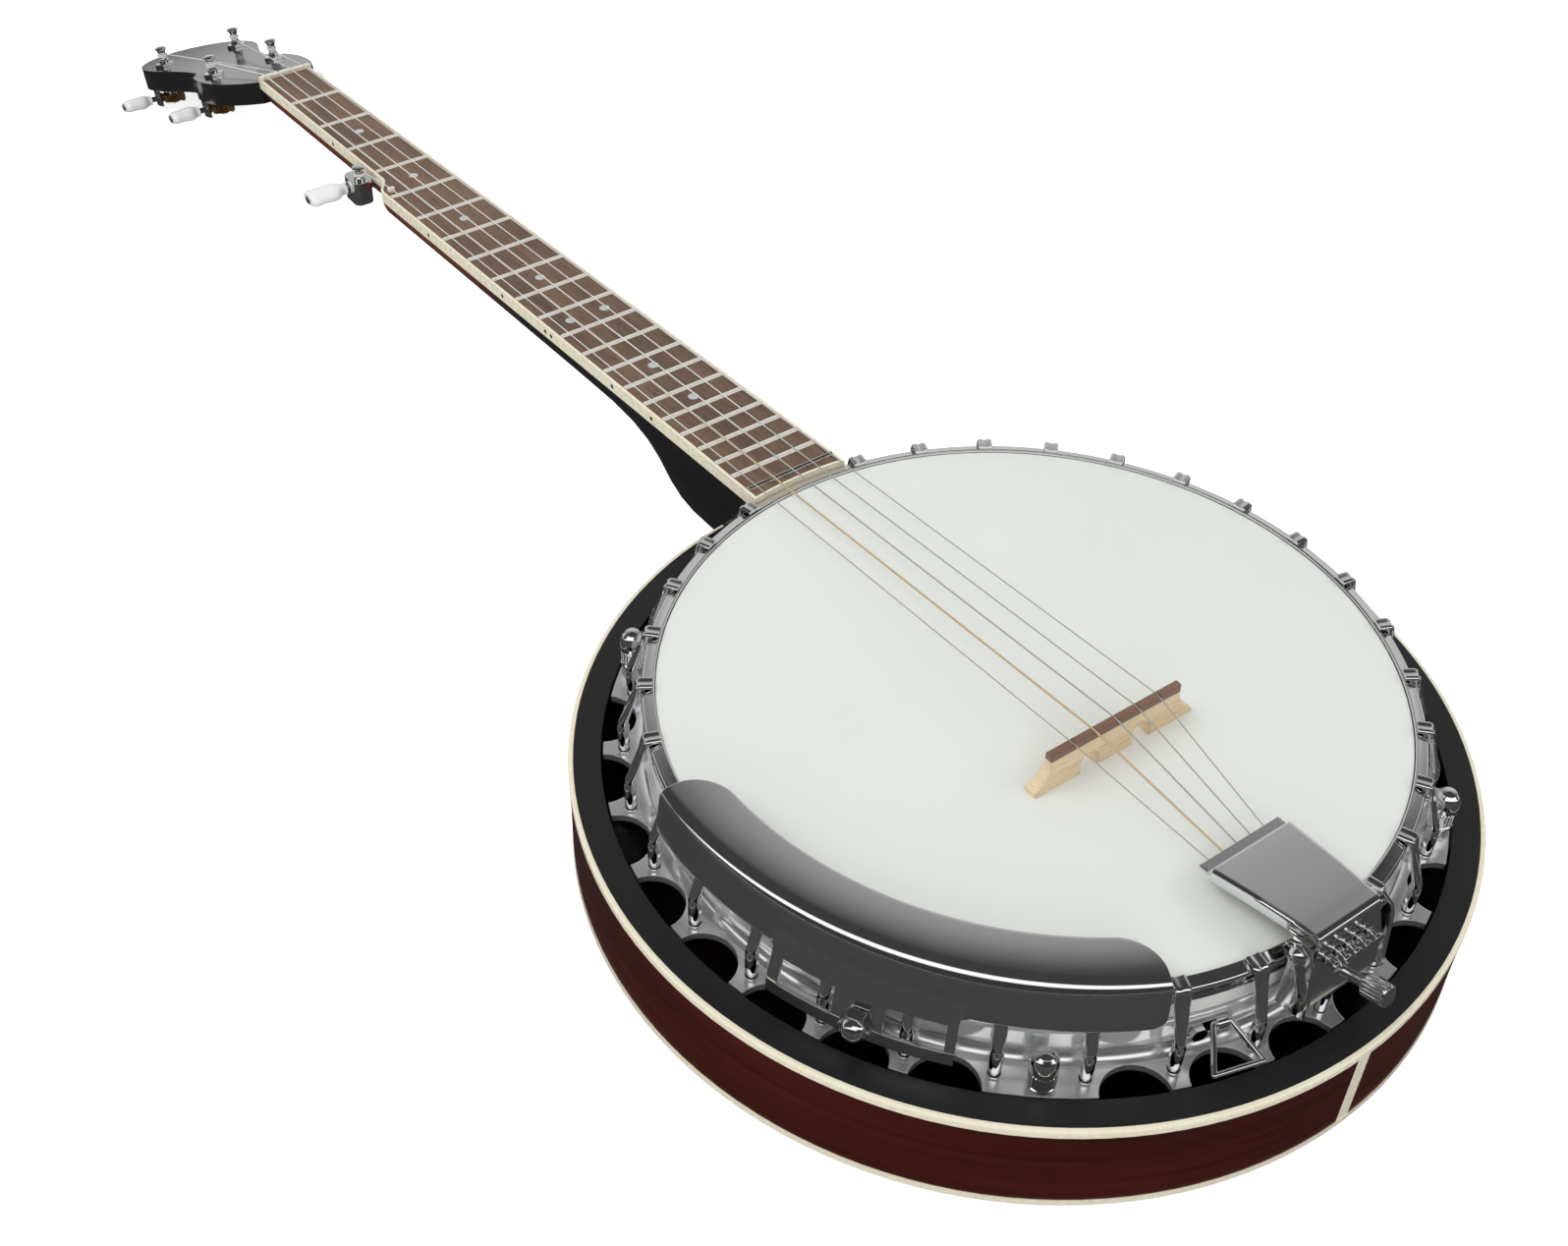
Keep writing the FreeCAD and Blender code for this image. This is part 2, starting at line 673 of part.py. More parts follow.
def board_outline(inset):
    """The fretboard's planform, closed, drawn in the fretboard plane."""
    far = 492.0
    bass = []
    steps = 6
    for number in range(steps + 1):
        distance = STEP_START - (STEP_START - STEP_END) * number / steps
        bass.append(Vector(-(bass_half(distance) - inset), -distance, 0))
    shoulder = Part.BSplineCurve()
    shoulder.interpolate(bass)
    corners = [Vector(-(bass_half(0) - inset), 0, 0), Vector(treble_half(0) - inset, 0, 0),
               Vector(treble_half(far) - inset, -far, 0),
               Vector(-(bass_half(far) - inset), -far, 0)]
    edges = [Part.LineSegment(bass[-1], corners[0]).toShape(),
             Part.LineSegment(corners[0], corners[1]).toShape(),
             Part.LineSegment(corners[1], corners[2]).toShape(),
             Part.LineSegment(corners[2], corners[3]).toShape(),
             Part.LineSegment(corners[3], bass[0]).toShape(), shoulder.toShape()]
    return Part.Wire(Part.__sortEdges__(edges))


DOT_RADIUS = 2.4
DOT_DEEP = 1.0
DOT_FRETS = [3, 5, 7, 10, 12, 15, 17]


def dot_places():
    """Centres of the fretboard dots: one per marker fret and two at the octave."""
    places = []
    for fret in DOT_FRETS:
        distance = (fret_distance(fret) + fret_distance(fret - 1)) / 2
        middle = (treble_half(distance) - bass_half(distance)) / 2
        spread = [-9.2, 9.2] if fret == 12 else [0]
        places += [Vector(middle + offset, -distance, 0) for offset in spread]
    return places


def side_dot_places():
    places = []
    for fret in DOT_FRETS:
        distance = (fret_distance(fret) + fret_distance(fret - 1)) / 2
        spread = [-2.6, 2.6] if fret == 12 else [0]
        places += [(distance + offset) for offset in spread]
    return places


TANG_HALF = 0.3
TANG_DEEP = 1.8
FRET_SHY = 0.15                     # the wire stops this far short of the binding


def fret_ends(distance):
    """The wire's left and right ends across the board."""
    inset = size("bind_wide") + FRET_SHY
    return inset - bass_half(distance), treble_half(distance) - inset


def tang(number):
    distance = fret_distance(number)
    left, right = fret_ends(distance)
    low = Vector(left, -distance - TANG_HALF, -TANG_DEEP)
    return block(low, Vector(right, TANG_HALF - distance, 0))


def make_fretboard():
    thick = Vector(0, 0, -BOARD_THICK)
    cut_outer = into_frame(pot_cylinder(size("board_cut_radius"), 0, 150), NECK_FRAME)
    end_inner = size("board_cut_radius") + size("end_bind_wide")
    cut_inner = into_frame(pot_cylinder(end_inner, 0, 150), NECK_FRAME)
    outer = Part.Face(board_outline(0)).extrude(thick).cut(cut_outer)
    wood = Part.Face(board_outline(size("bind_wide"))).extrude(thick).cut(cut_inner)
    binding = outer.cut(wood)
    tangs = [tang(number) for number in range(1, 23)]
    wood = wood.cut(compound(tangs))
    dots = [Part.makeCylinder(DOT_RADIUS, DOT_DEEP, place.add(Vector(0, 0, -DOT_DEEP)))
            for place in dot_places()]
    wood = wood.cut(compound(dots))
    pip_hole = Part.makeCylinder(1.4, 3, pip_place().add(Vector(0, 0, -3)))
    wood = wood.cut(pip_hole)
    side_dots = []
    for distance in side_dot_places():
        edge = -bass_half(distance)
        start = Vector(edge - 0.02, -distance, -BOARD_THICK / 2)
        side_dots.append(rod(start, start.add(Vector(0.7, 0, 0)), 1.0))
    binding = binding.cut(compound(side_dots))
    shape_part("fretboard", wood, NECK_FRAME)
    shape_part("fretboard_binding", binding, NECK_FRAME)
    shape_part("inlay_dots", compound(dots), NECK_FRAME)
    shape_part("side_dots", compound(side_dots), NECK_FRAME)


def make_frets():
    """Crowned fret wire with a tang pressed into the board."""
    wires = []
    for number in range(1, 23):
        distance = fret_distance(number)
        left, right = fret_ends(distance)
        crown = rod(Vector(left, -distance, -0.35), Vector(right, -distance, -0.35), 1.35)
        above = block(Vector(left - 1, -distance - 3, 0), Vector(right + 1, 3 - distance, 3))
        wires.append(crown.common(above).fuse(tang(number)))
    shape_part("frets", compound(wires), NECK_FRAME)


NUT_TOP = 1.9
NUT_THICK = 3.2
NUT_SLOTS = [-8.2, -0.5, 7.2, 14.9]


def make_nut():
    left = -bass_half(0)
    right = treble_half(0)
    low = -BOARD_THICK
    nut = block(Vector(left, 0, low), Vector(right, NUT_THICK, NUT_TOP))
    for across in NUT_SLOTS:
        slot = block(Vector(across - 0.5, -1, NUT_TOP - 0.7), Vector(across + 0.5, 5, 5))
        nut = nut.cut(slot)
    shape_part("nut", nut, NECK_FRAME)


def pip_place():
    return Vector(-15.2, -fret_distance(5) + 6.5, 0)


def make_pip():
    """The small post that carries the fifth string beside the fifth fret."""
    place = pip_place()
    pip = Part.makeCylinder(1.4, 3.0, place.add(Vector(0, 0, -3)))
    pip = pip.fuse(Part.makeCylinder(1.9, 1.7, place))
    pip = pip.cut(block(place.add(Vector(-0.45, -4, 0.9)), place.add(Vector(0.45, 4, 3))))
    shape_part("fifth_string_pip", pip, NECK_FRAME)


def make_truss_rod():
    bar = rod(Vector(0, -378, -BOARD_THICK - 3.6), Vector(0, 4, -BOARD_THICK - 3.6), 2.5)
    shape_part("truss_rod", bar, NECK_FRAME)
    centre = size("head_centre") + 1.4
    sides = [(-7.5, 3.5), (7.5, 3.5), (8.5, 14), (5.5, 24), (0, 31), (-5.5, 24), (-8.5, 14)]
    plate = prism([Vector(centre + x, y, 0) for x, y in sides], Vector(0, 0, 1.6))
    shape_part("truss_rod_cover", plate, HEAD_FRAME)


# ---------------------------------------------------------------- tuners

PLATE_THICK = 1.2
EAR_HALF = 6.2
EAR_THICK = 1.4
WORM_DROP = 6.0
GEAR_TIP = 6.3
GEAR_THICK = 4.0
WORM_RADIUS = 2.75
AXLE_RADIUS = 1.6
AXLE_REACH = 22.0
BUTTON_GAP = 12.0                   # from a worm's centre to its button
BUTTON_LENGTH = 17.0
BUTTON_PLUMP = 1.16


def under():
    """Height of the peghead's underside in the peghead frame."""
    return -size("head_thick")


def make_tuner_plates():
    plates = []
    ferrules = []
    for number in range(len(POSTS)):
        x, y = post_place(number)
        low = under() - PLATE_THICK
        plate = block(Vector(x - 8, y - 8.5, low), Vector(x + 8, y + 15, under()))
        for side in (-1, 1):
            inner = x + side * EAR_HALF
            outer = x + side * (EAR_HALF + EAR_THICK)
            drop = low - WORM_DROP - 4.2
            ear = block(Vector(min(inner, outer), y + WORM_OFFSET - 4.2, drop),
                        Vector(max(inner, outer), y + WORM_OFFSET + 4.2, low + 0.1))
            plate = plate.fuse(ear)
        axle = worm_height()
        bore = rod(Vector(x - 20, y + WORM_OFFSET, axle), Vector(x + 20, y + WORM_OFFSET, axle),
                   AXLE_RADIUS + size("running_gap"))
        plate = plate.cut(bore)
        plate = plate.cut(rod(Vector(x, y, -30), Vector(x, y, 5), POST_RADIUS + 0.3))
        plates.append(plate)
        sleeve = rod(Vector(x, y, under()), Vector(x, y, 0), FERRULE_OUT)
        sleeve = sleeve.fuse(hexagon(10.5, 1.8, Vector(x, y, 0), Z_AXIS))
        bore = rod(Vector(x, y, -20), Vector(x, y, 5), POST_RADIUS + size("running_gap"))
        ferrules.append(sleeve.cut(bore))
    shape_part("tuner_plates", compound(plates), HEAD_FRAME)
    shape_part("tuner_ferrules", compound(ferrules), HEAD_FRAME)


def worm_height():
    return under() - PLATE_THICK - WORM_DROP + 0.4


def gear(teeth, tip, root, thick):
    """A plain toothed wheel about Z with its lower face at zero."""
    points = []
    for tooth in range(teeth):
        for part, radius in ((0.0, root), (0.25, tip), (0.5, tip), (0.75, root)):
            turn = 2 * math.pi * (tooth + part) / teeth
            points.append(Vector(radius * math.cos(turn), radius * math.sin(turn), 0))
    return prism(points, Vector(0, 0, thick))


def post_solid(top):
    """The string post with a waist for the windings and a round cap."""
    profile = [(0, 0), (POST_RADIUS, 0), (POST_RADIUS, top * 0.30), (2.2, top * 0.40),
               (2.0, top * 0.62), (2.6, top * 0.80), (3.3, top * 0.86), (3.3, top * 0.95),
               (2.4, top), (0, top)]
    return profile


def make_tuners():
    for number, name in enumerate(TUNER_NAMES):
        x, y = post_place(number)
        side = -1 if POSTS[number][0] < 0 else 1
        axle = worm_height()
        wheel_low = axle - GEAR_THICK / 2
        neck_part = rod(Vector(x, y, wheel_low + GEAR_THICK), Vector(x, y, 0), POST_RADIUS)
        stub = rod(Vector(x, y, wheel_low - 1.2), Vector(x, y, wheel_low + GEAR_THICK), 1.8)
        above = lathe(post_solid(11.5), Vector(x, y, 0), Z_AXIS)
        post = neck_part.fuse([stub, above])
        wheel = gear(15, GEAR_TIP, 5.2, GEAR_THICK)
        wheel.translate(Vector(x, y, wheel_low))
        wheel = wheel.cut(rod(Vector(x, y, -40), Vector(x, y, 5), 1.8))
        shape_part("tuner_post_" + name, compound([post, wheel]), HEAD_FRAME)
        worm_place = Vector(x, y + WORM_OFFSET, axle)
        outward = Vector(side, 0, 0)
        make_worm("tuner_worm_" + name, worm_place, outward, HEAD_FRAME)
        make_button("tuner_button_" + name, worm_place, outward, BUTTON_GAP, BUTTON_LENGTH,
                    BUTTON_PLUMP, HEAD_FRAME)


def make_worm(label, place, outward, frame):
    """A worm on an axle that ends in a flat for the button."""
    start = place.sub(outward * (EAR_HALF + EAR_THICK + 0.8))
    end = place.add(outward * AXLE_REACH)
    axle = rod(start, end, AXLE_RADIUS)
    half = EAR_HALF - 0.3
    profile = [(0, 0), (2.0, 0)]
    turns = 5
    pitch = 2 * half / turns
    for turn in range(turns):
        low = turn * pitch
        profile += [(2.0, low + 0.15 * pitch), (WORM_RADIUS, low + 0.35 * pitch),
                    (WORM_RADIUS, low + 0.65 * pitch), (2.0, low + 0.85 * pitch)]
    profile += [(2.0, 2 * half), (0, 2 * half)]
    thread = lathe(profile, place.sub(outward * half), outward)
    shape_part(label, axle.fuse(thread), frame)


BUTTON_PARTS = [0.0, 0.14, 0.22, 0.45, 0.75, 1.0]
BUTTON_WIDE = [2.8, 2.9, 4.0, 5.2, 5.3, 4.3]
BUTTON_THICK = [2.6, 2.7, 3.1, 3.2, 2.9, 2.2]


def make_button(label, place, outward, gap, length, plump, frame):
    """A flattened oval button with a collar, pressed on the axle's end."""
    start = place.add(outward * gap)
    wires = []
    for part, half_wide, half_thick in zip(BUTTON_PARTS, BUTTON_WIDE, BUTTON_THICK):
        oval = Part.Ellipse(ORIGIN, plump * half_wide, plump * half_thick).toShape()
        turn = FreeCAD.Rotation(Z_AXIS, outward)
        spin = FreeCAD.Rotation(Z_AXIS, 90)
        centre = start.add(outward * (length * part))
        oval.Placement = FreeCAD.Placement(centre, turn.multiply(spin))
        wires.append(Part.Wire([oval]))
    knob = Part.makeLoft(wires, True, False)
    tip = place.add(outward * AXLE_REACH)
    knob = knob.cut(rod(place, tip, AXLE_RADIUS))
    shape_part(label, knob, frame)


FIFTH_X = -20.6
FIFTH_Y = 492.0
FIFTH_BASE = 41.0                   # underside of the fifth tuner's housing
FIFTH_TOP = 60.6
FIFTH_WORM = 6.0                    # the worm lies this far behind the post
FIFTH_GAP = 6.0
FIFTH_LENGTH = 21.0
FIFTH_PLUMP = 1.22
SPIKE_RADIUS = 2.2


def fifth_spike():
    """The ends of the spike that presses into the side of the neck."""
    height = FIFTH_BASE + 6.0
    start = Vector(FIFTH_X + 5.4, FIFTH_Y + 3.0, height)
    return start, start.add(Vector(7.6, 0, 0))


def make_fifth_tuner():
    x = FIFTH_X
    y = FIFTH_Y
    axle_z = FIFTH_BASE + 6.0
    shell = block(Vector(x - 5.2, y - 5.0, FIFTH_BASE), Vector(x + 5.2, y + 9.6, 53.4))
    edges = [edge for edge in shell.Edges if abs(edge.Vertexes[0].Z - edge.Vertexes[-1].Z) > 5]
    shell = shell.makeFillet(3.4, edges)
    room = block(Vector(x - 4.1, y - 4.1, FIFTH_BASE + 1.2), Vector(x + 4.1, y + 11, 52.2))
    shell = shell.cut(room)
    spike_start, spike_end = fifth_spike()
    shell = shell.fuse(rod(spike_start, spike_end, SPIKE_RADIUS))
    gap = size("running_gap")
    shell = shell.cut(rod(Vector(x, y, 50), Vector(x, y, 60), POST_RADIUS + gap))
    shell = shell.cut(rod(Vector(x, y, 35), Vector(x, y, 50), 1.8 + gap))
    place = Vector(x, y + FIFTH_WORM, axle_z)
    shell = shell.cut(rod(place, place.add(Vector(-20, 0, 0)), AXLE_RADIUS + gap))
    shell = shell.cut(rod(place, place.add(Vector(4.7, 0, 0)), AXLE_RADIUS + gap))
    shape_part("fifth_tuner_housing", shell)
    wheel_low = axle_z - 1.5
    post = rod(Vector(x, y, wheel_low + 3), Vector(x, y, 52.5), POST_RADIUS)
    post = post.fuse(rod(Vector(x, y, FIFTH_BASE + 0.2), Vector(x, y, wheel_low + 3), 1.8))
    post = post.fuse(lathe(post_solid(FIFTH_TOP - 52.5), Vector(x, y, 52.5), Z_AXIS))
    wheel = gear(12, 3.8, 3.0, 3.0)
    wheel.translate(Vector(x, y, wheel_low))
    wheel = wheel.cut(rod(Vector(x, y, 30), Vector(x, y, 60), 1.8))
    shape_part("fifth_tuner_post", compound([post, wheel]))
    axle = rod(place.add(Vector(4.6, 0, 0)), place.add(Vector(-AXLE_REACH, 0, 0)), AXLE_RADIUS)
    thread = rod(place.add(Vector(3.8, 0, 0)), place.add(Vector(-3.8, 0, 0)), 2.0)
    shape_part("fifth_tuner_worm", axle.fuse(thread))
    make_button("fifth_tuner_button", place, Vector(-1, 0, 0), FIFTH_GAP, FIFTH_LENGTH,
                FIFTH_PLUMP, None)


# ---------------------------------------------------------------- bridge and strings

STRING_RADII = [0.25, 0.28, 0.33, 0.45, 0.25]
WIND_INNER = 2.3                    # inside radius of a string's winds on its post
WIND_HIGH = 6.3                     # height of the winds above the peghead's face
WIND_TURNS = 3
BEND_SWELL = 1.03                   # a bend's ball is a little larger than the wire


def make_bridge():
    low = size("pot_top") + size("film_thick")
    cap_low = size("bridge_top_high") - 3.4
    tall = cap_low - low
    half = 31.0
    arch = Part.Arc
    edges = []

    def line(start, end):
        edges.append(Part.LineSegment(start, end).toShape())

    def bow(start, middle, end):
        edges.append(arch(start, middle, end).toShape())

    def at(x, z):
        return Vector(x, 0, low + z)

    line(at(-37.8, 0), at(-16.5, 0))
    bow(at(-16.5, 0), at(-12.5, 7.6), at(-8.5, 0))
    line(at(-8.5, 0), at(8.5, 0))
    bow(at(8.5, 0), at(12.5, 7.6), at(16.5, 0))
    line(at(16.5, 0), at(37.8, 0))
    line(at(37.8, 0), at(37.8, 1.6))
    bow(at(37.8, 1.6), at(33.0, 5.2), at(half, tall))
    line(at(half, tall), at(-half, tall))
    bow(at(-half, tall), at(-33.0, 5.2), at(-37.8, 1.6))
    line(at(-37.8, 1.6), at(-37.8, 0))
    face = Part.Face(Part.Wire(edges))
    slab = face.extrude(Vector(0, 6, 0))
    wedge = [Vector(-60, 0, low), Vector(-60, 6, low), Vector(-60, 4.6, cap_low),
             Vector(-60, 1.4, cap_low)]
    base = slab.common(prism(wedge, Vector(120, 0, 0)))
    placement = FreeCAD.Placement(Vector(0, -size("bridge_dist") - 3, 0), FreeCAD.Rotation())
    shape_part("bridge_base", base, placement)
    cap = block(Vector(-half, 1.4, cap_low), Vector(half, 4.6, size("bridge_top_high")))
    long_edges = [edge for edge in cap.Edges
                  if abs(edge.Vertexes[0].X - edge.Vertexes[-1].X) > 5
                  and edge.Vertexes[0].Z > cap_low + 1]
    cap = cap.makeFillet(1.0, long_edges)
    for number, radius in enumerate(STRING_RADII):
        x = bridge_x(number)
        side = radius + 0.3
        slot = block(Vector(x - side, 0, size("bridge_top_high") - 1.15),
                     Vector(x + side, 6, size("bridge_top_high") + 2))
        cap = cap.cut(slot)
    shape_part("bridge_top", cap, placement)


def bridge_x(number):
    return (2 - number) * size("string_pitch")


TAIL_PITCH = 4.9


def string_path(number):
    """Corner points of one string from the tailpiece to its post."""
    radius = STRING_RADII[number]
    path = [Vector((2 - number) * TAIL_PITCH, -145.6, 84.5),
            Vector((2 - number) * 6.4, -104.5, 80.2),
            Vector(bridge_x(number), -size("bridge_dist"),
                   size("bridge_top_high") - 0.8 + radius + 0.05)]
    if number == 4:
        pip = pip_place()
        path.append(NECK_FRAME.multVec(pip.add(Vector(0, 0, 1.1 + radius + 0.03))))
        winding = Vector(FIFTH_X, FIFTH_Y, 52.5 + 4.1)
        path.append(winding.add(Vector(WIND_INNER + radius, 0, 0)))
        return path, winding, Z_AXIS
    tuner = 3 - number
    slot = Vector(NUT_SLOTS[tuner], 0, NUT_TOP - 0.7 + radius + 0.03)
    path.append(NECK_FRAME.multVec(slot))
    path.append(NECK_FRAME.multVec(slot.add(Vector(0, NUT_THICK, 0))))
    x, y = post_place(tuner)
    inner = 1 if POSTS[tuner][0] < 0 else -1
    winding = HEAD_FRAME.multVec(Vector(x, y, WIND_HIGH))
    path.append(HEAD_FRAME.multVec(Vector(x + inner * (WIND_INNER + radius), y, WIND_HIGH)))
    return path, winding, HEAD_FRAME.Rotation.multVec(Z_AXIS)


def make_strings():
    """Each string is a bent wire that ends in a few tight winds round its post."""
    plain = []
    wound = []
    for number, radius in enumerate(STRING_RADII):
        path, winding, axis = string_path(number)
        runs = [rod(start, end, radius) for start, end in zip(path[:-1], path[1:])]
        bends = [Part.makeSphere(BEND_SWELL * radius, corner) for corner in path[1:-1]]
        reach = WIND_INNER + 2 * radius
        half = WIND_TURNS * radius
        start = winding - axis * half
        winds = Part.makeCylinder(reach, 2 * half, start, axis)
        winds = winds.cut(Part.makeCylinder(WIND_INNER, 2 * half, start, axis))
        (wound if number == 3 else plain).append(runs[0].fuse(runs[1:] + bends + [winds]))
    shape_part("strings", compound(plain + wound))


# ---------------------------------------------------------------- armrest

ARM_START = 205.3
ARM_END = 278.8
ARM_MIDDLE = 242.0
ARM_INNER = 128.0
ARM_OUTER = 149.0
ARM_TOP = 87.2
ARM_SHEET = 1.2
ARM_SKIRT_LOW = 68.6
ARM_BOLT_Z = 57.0
ARM_BOLT_RADIUS = 2.0
ARM_DOME = [(0, 0), (4.6, 0), (4.6, 1.4), (4.3, 2.6), (3.5, 3.9), (2.2, 4.9), (0, 5.4)]
TAB_START = 230.0
TAB_END = 254.8
TAB_WINDOWS = [(231.3, 238.9), (245.6, 253.2)]
WINDOW_LOW = 55.0
WINDOW_HIGH = 65.5


def sector(inner, outer, low, high, start, end):
    """Part of a ring between two clock angles less than 180 degrees apart."""
    reach = outer * 3
    wedge = prism([Vector(0, 0, low), polar(reach, start, low),
                   polar(reach, (start + end) / 2, low), polar(reach, end, low)],
                  Vector(0, 0, high - low))
    return ring(inner, outer, low, high).common(wedge)


def make_armrest():
    plate = sector(ARM_INNER, ARM_OUTER, ARM_TOP - ARM_SHEET, ARM_TOP, ARM_START, ARM_END)
    corners = []
    for edge in plate.Edges:
        upright = abs(edge.Vertexes[0].Z - edge.Vertexes[-1].Z) > 0.5
        place = edge.Vertexes[0].Point
        if upright and math.hypot(place.x, place.y) < ARM_INNER + 1:
            corners.append(edge)
    plate = plate.makeFillet(13.0, corners)
    skirt_inner = ARM_OUTER - ARM_SHEET
    skirt = sector(skirt_inner, ARM_OUTER, ARM_SKIRT_LOW, ARM_TOP, ARM_START, ARM_END)
    rest = plate.fuse(skirt)
    top = [edge for edge in rest.Edges
           if isinstance(edge.Curve, Part.Circle) and abs(edge.Curve.Radius - ARM_OUTER) < 0.01
           and abs(edge.Curve.Center.z - ARM_TOP) < 0.01]
    rest = rest.makeFillet(1.1, top)
    tab = lathe([(skirt_inner, 71.5), (ARM_OUTER, 71.5), (154.2, 57.5), (154.2, 49.0),
                 (153.0, 49.0), (153.0, 57.0)], ORIGIN, Z_AXIS)
    tab = tab.common(sector(140, 160, 45, 85, TAB_START, TAB_END))
    for start, end in TAB_WINDOWS:
        tab = tab.cut(sector(140, 160, WINDOW_LOW, WINDOW_HIGH, start, end))
    inside = polar(140, ARM_MIDDLE, ARM_BOLT_Z)
    outside = polar(160, ARM_MIDDLE, ARM_BOLT_Z)
    tab = tab.cut(rod(inside, outside, ARM_BOLT_RADIUS + 0.1))
    shape_part("armrest", rest.fuse(tab))
    bar = block(Vector(-5, 146.4, 48.2), Vector(5, 148.6, 60))
    foot = block(Vector(-5, 141.9, 57.4), Vector(5, 148.6, 60))
    bar = around(bar.fuse(foot).cut(pot_cylinder(142.3, 40, 70)), ARM_MIDDLE)
    bar = bar.cut(rod(inside, outside, ARM_BOLT_RADIUS))
    shape_part("armrest_clamp", bar)
    stud = rod(polar(144.2, ARM_MIDDLE, ARM_BOLT_Z), polar(154.3, ARM_MIDDLE, ARM_BOLT_Z),
               ARM_BOLT_RADIUS)
    nut = hexagon(10.0, 4.2, polar(154.25, ARM_MIDDLE, ARM_BOLT_Z), polar(1, ARM_MIDDLE))
    dome = lathe(ARM_DOME, polar(157.4, ARM_MIDDLE, ARM_BOLT_Z), polar(1, ARM_MIDDLE))
    shape_part("armrest_nut", stud.fuse([nut, dome]))


# ---------------------------------------------------------------- tailpiece

PIVOT_Y = -147.2
PIVOT_Z = 81.6
PLATE_TILT = 11.7
TAIL_FOOT = 55.8
TAIL_BOLT_Y = -150.0
HOOK_POST_Z = 78.4


def make_tailpiece():
    web = block(Vector(-19.8, -145.8, TAIL_FOOT), Vector(19.8, -144.3, 78.6))
    lip = block(Vector(-12.0, -145.8, 77.1), Vector(12.0, -138.5, 78.6))
    bracket = web.fuse(lip)
    ear_outline = [(-144.3, TAIL_FOOT), (-155.6, 57.2), (-153.4, 81.0), (-151.6, 85.2),
                   (-147.2, 87.2), (-143.0, 85.2), (-141.2, 81.0), (-144.3, 77.0)]
    for side in (-1, 1):
        points = [Vector(side * 18.4, y, z) for y, z in ear_outline]
        bracket = bracket.fuse(prism(points, Vector(side * 1.4, 0, 0)))
    foot = block(Vector(-6, -153.5, TAIL_FOOT), Vector(6, -144.3, TAIL_FOOT + 1.5))
    bracket = bracket.fuse(foot)
    bracket = bracket.cut(rod(Vector(0, TAIL_BOLT_Y, 50), Vector(0, TAIL_BOLT_Y, 65), 2.05))
    for side in (-1, 1):
        bracket = bracket.cut(rod(Vector(side * 17, PIVOT_Y, PIVOT_Z),
                                  Vector(side * 22, PIVOT_Y, PIVOT_Z), 2.0))
    bracket = bracket.cut(pot_cylinder(size("hoop_outer") + 0.2, 50, size("hoop_top") + 0.1))
    shape_part("tailpiece_bracket", bracket)
    bolt = rod(Vector(0, TAIL_BOLT_Y, 33), Vector(0, TAIL_BOLT_Y, 58), 2.0)
    bolt = bolt.fuse(hexagon(7.0, 2.5, Vector(0, TAIL_BOLT_Y, TAIL_FOOT + 1.55), Z_AXIS))
    shape_part("tailpiece_bolt", bolt)
    pins = []
    for side in (-1, 1):
        shank = rod(Vector(side * 16.6, PIVOT_Y, PIVOT_Z), Vector(side * 20, PIVOT_Y, PIVOT_Z), 2.0)
        dome = Part.makeSphere(3.6, Vector(side * 18.6, PIVOT_Y, PIVOT_Z))
        keep_side = block(Vector(min(side * 19.85, side * 25), PIVOT_Y - 5, PIVOT_Z - 5),
                          Vector(max(side * 19.85, side * 25), PIVOT_Y + 5, PIVOT_Z + 5))
        pins.append(shank.fuse(dome.common(keep_side)))
    shape_part("tailpiece_pivots", compound(pins))
    make_tail_cover()


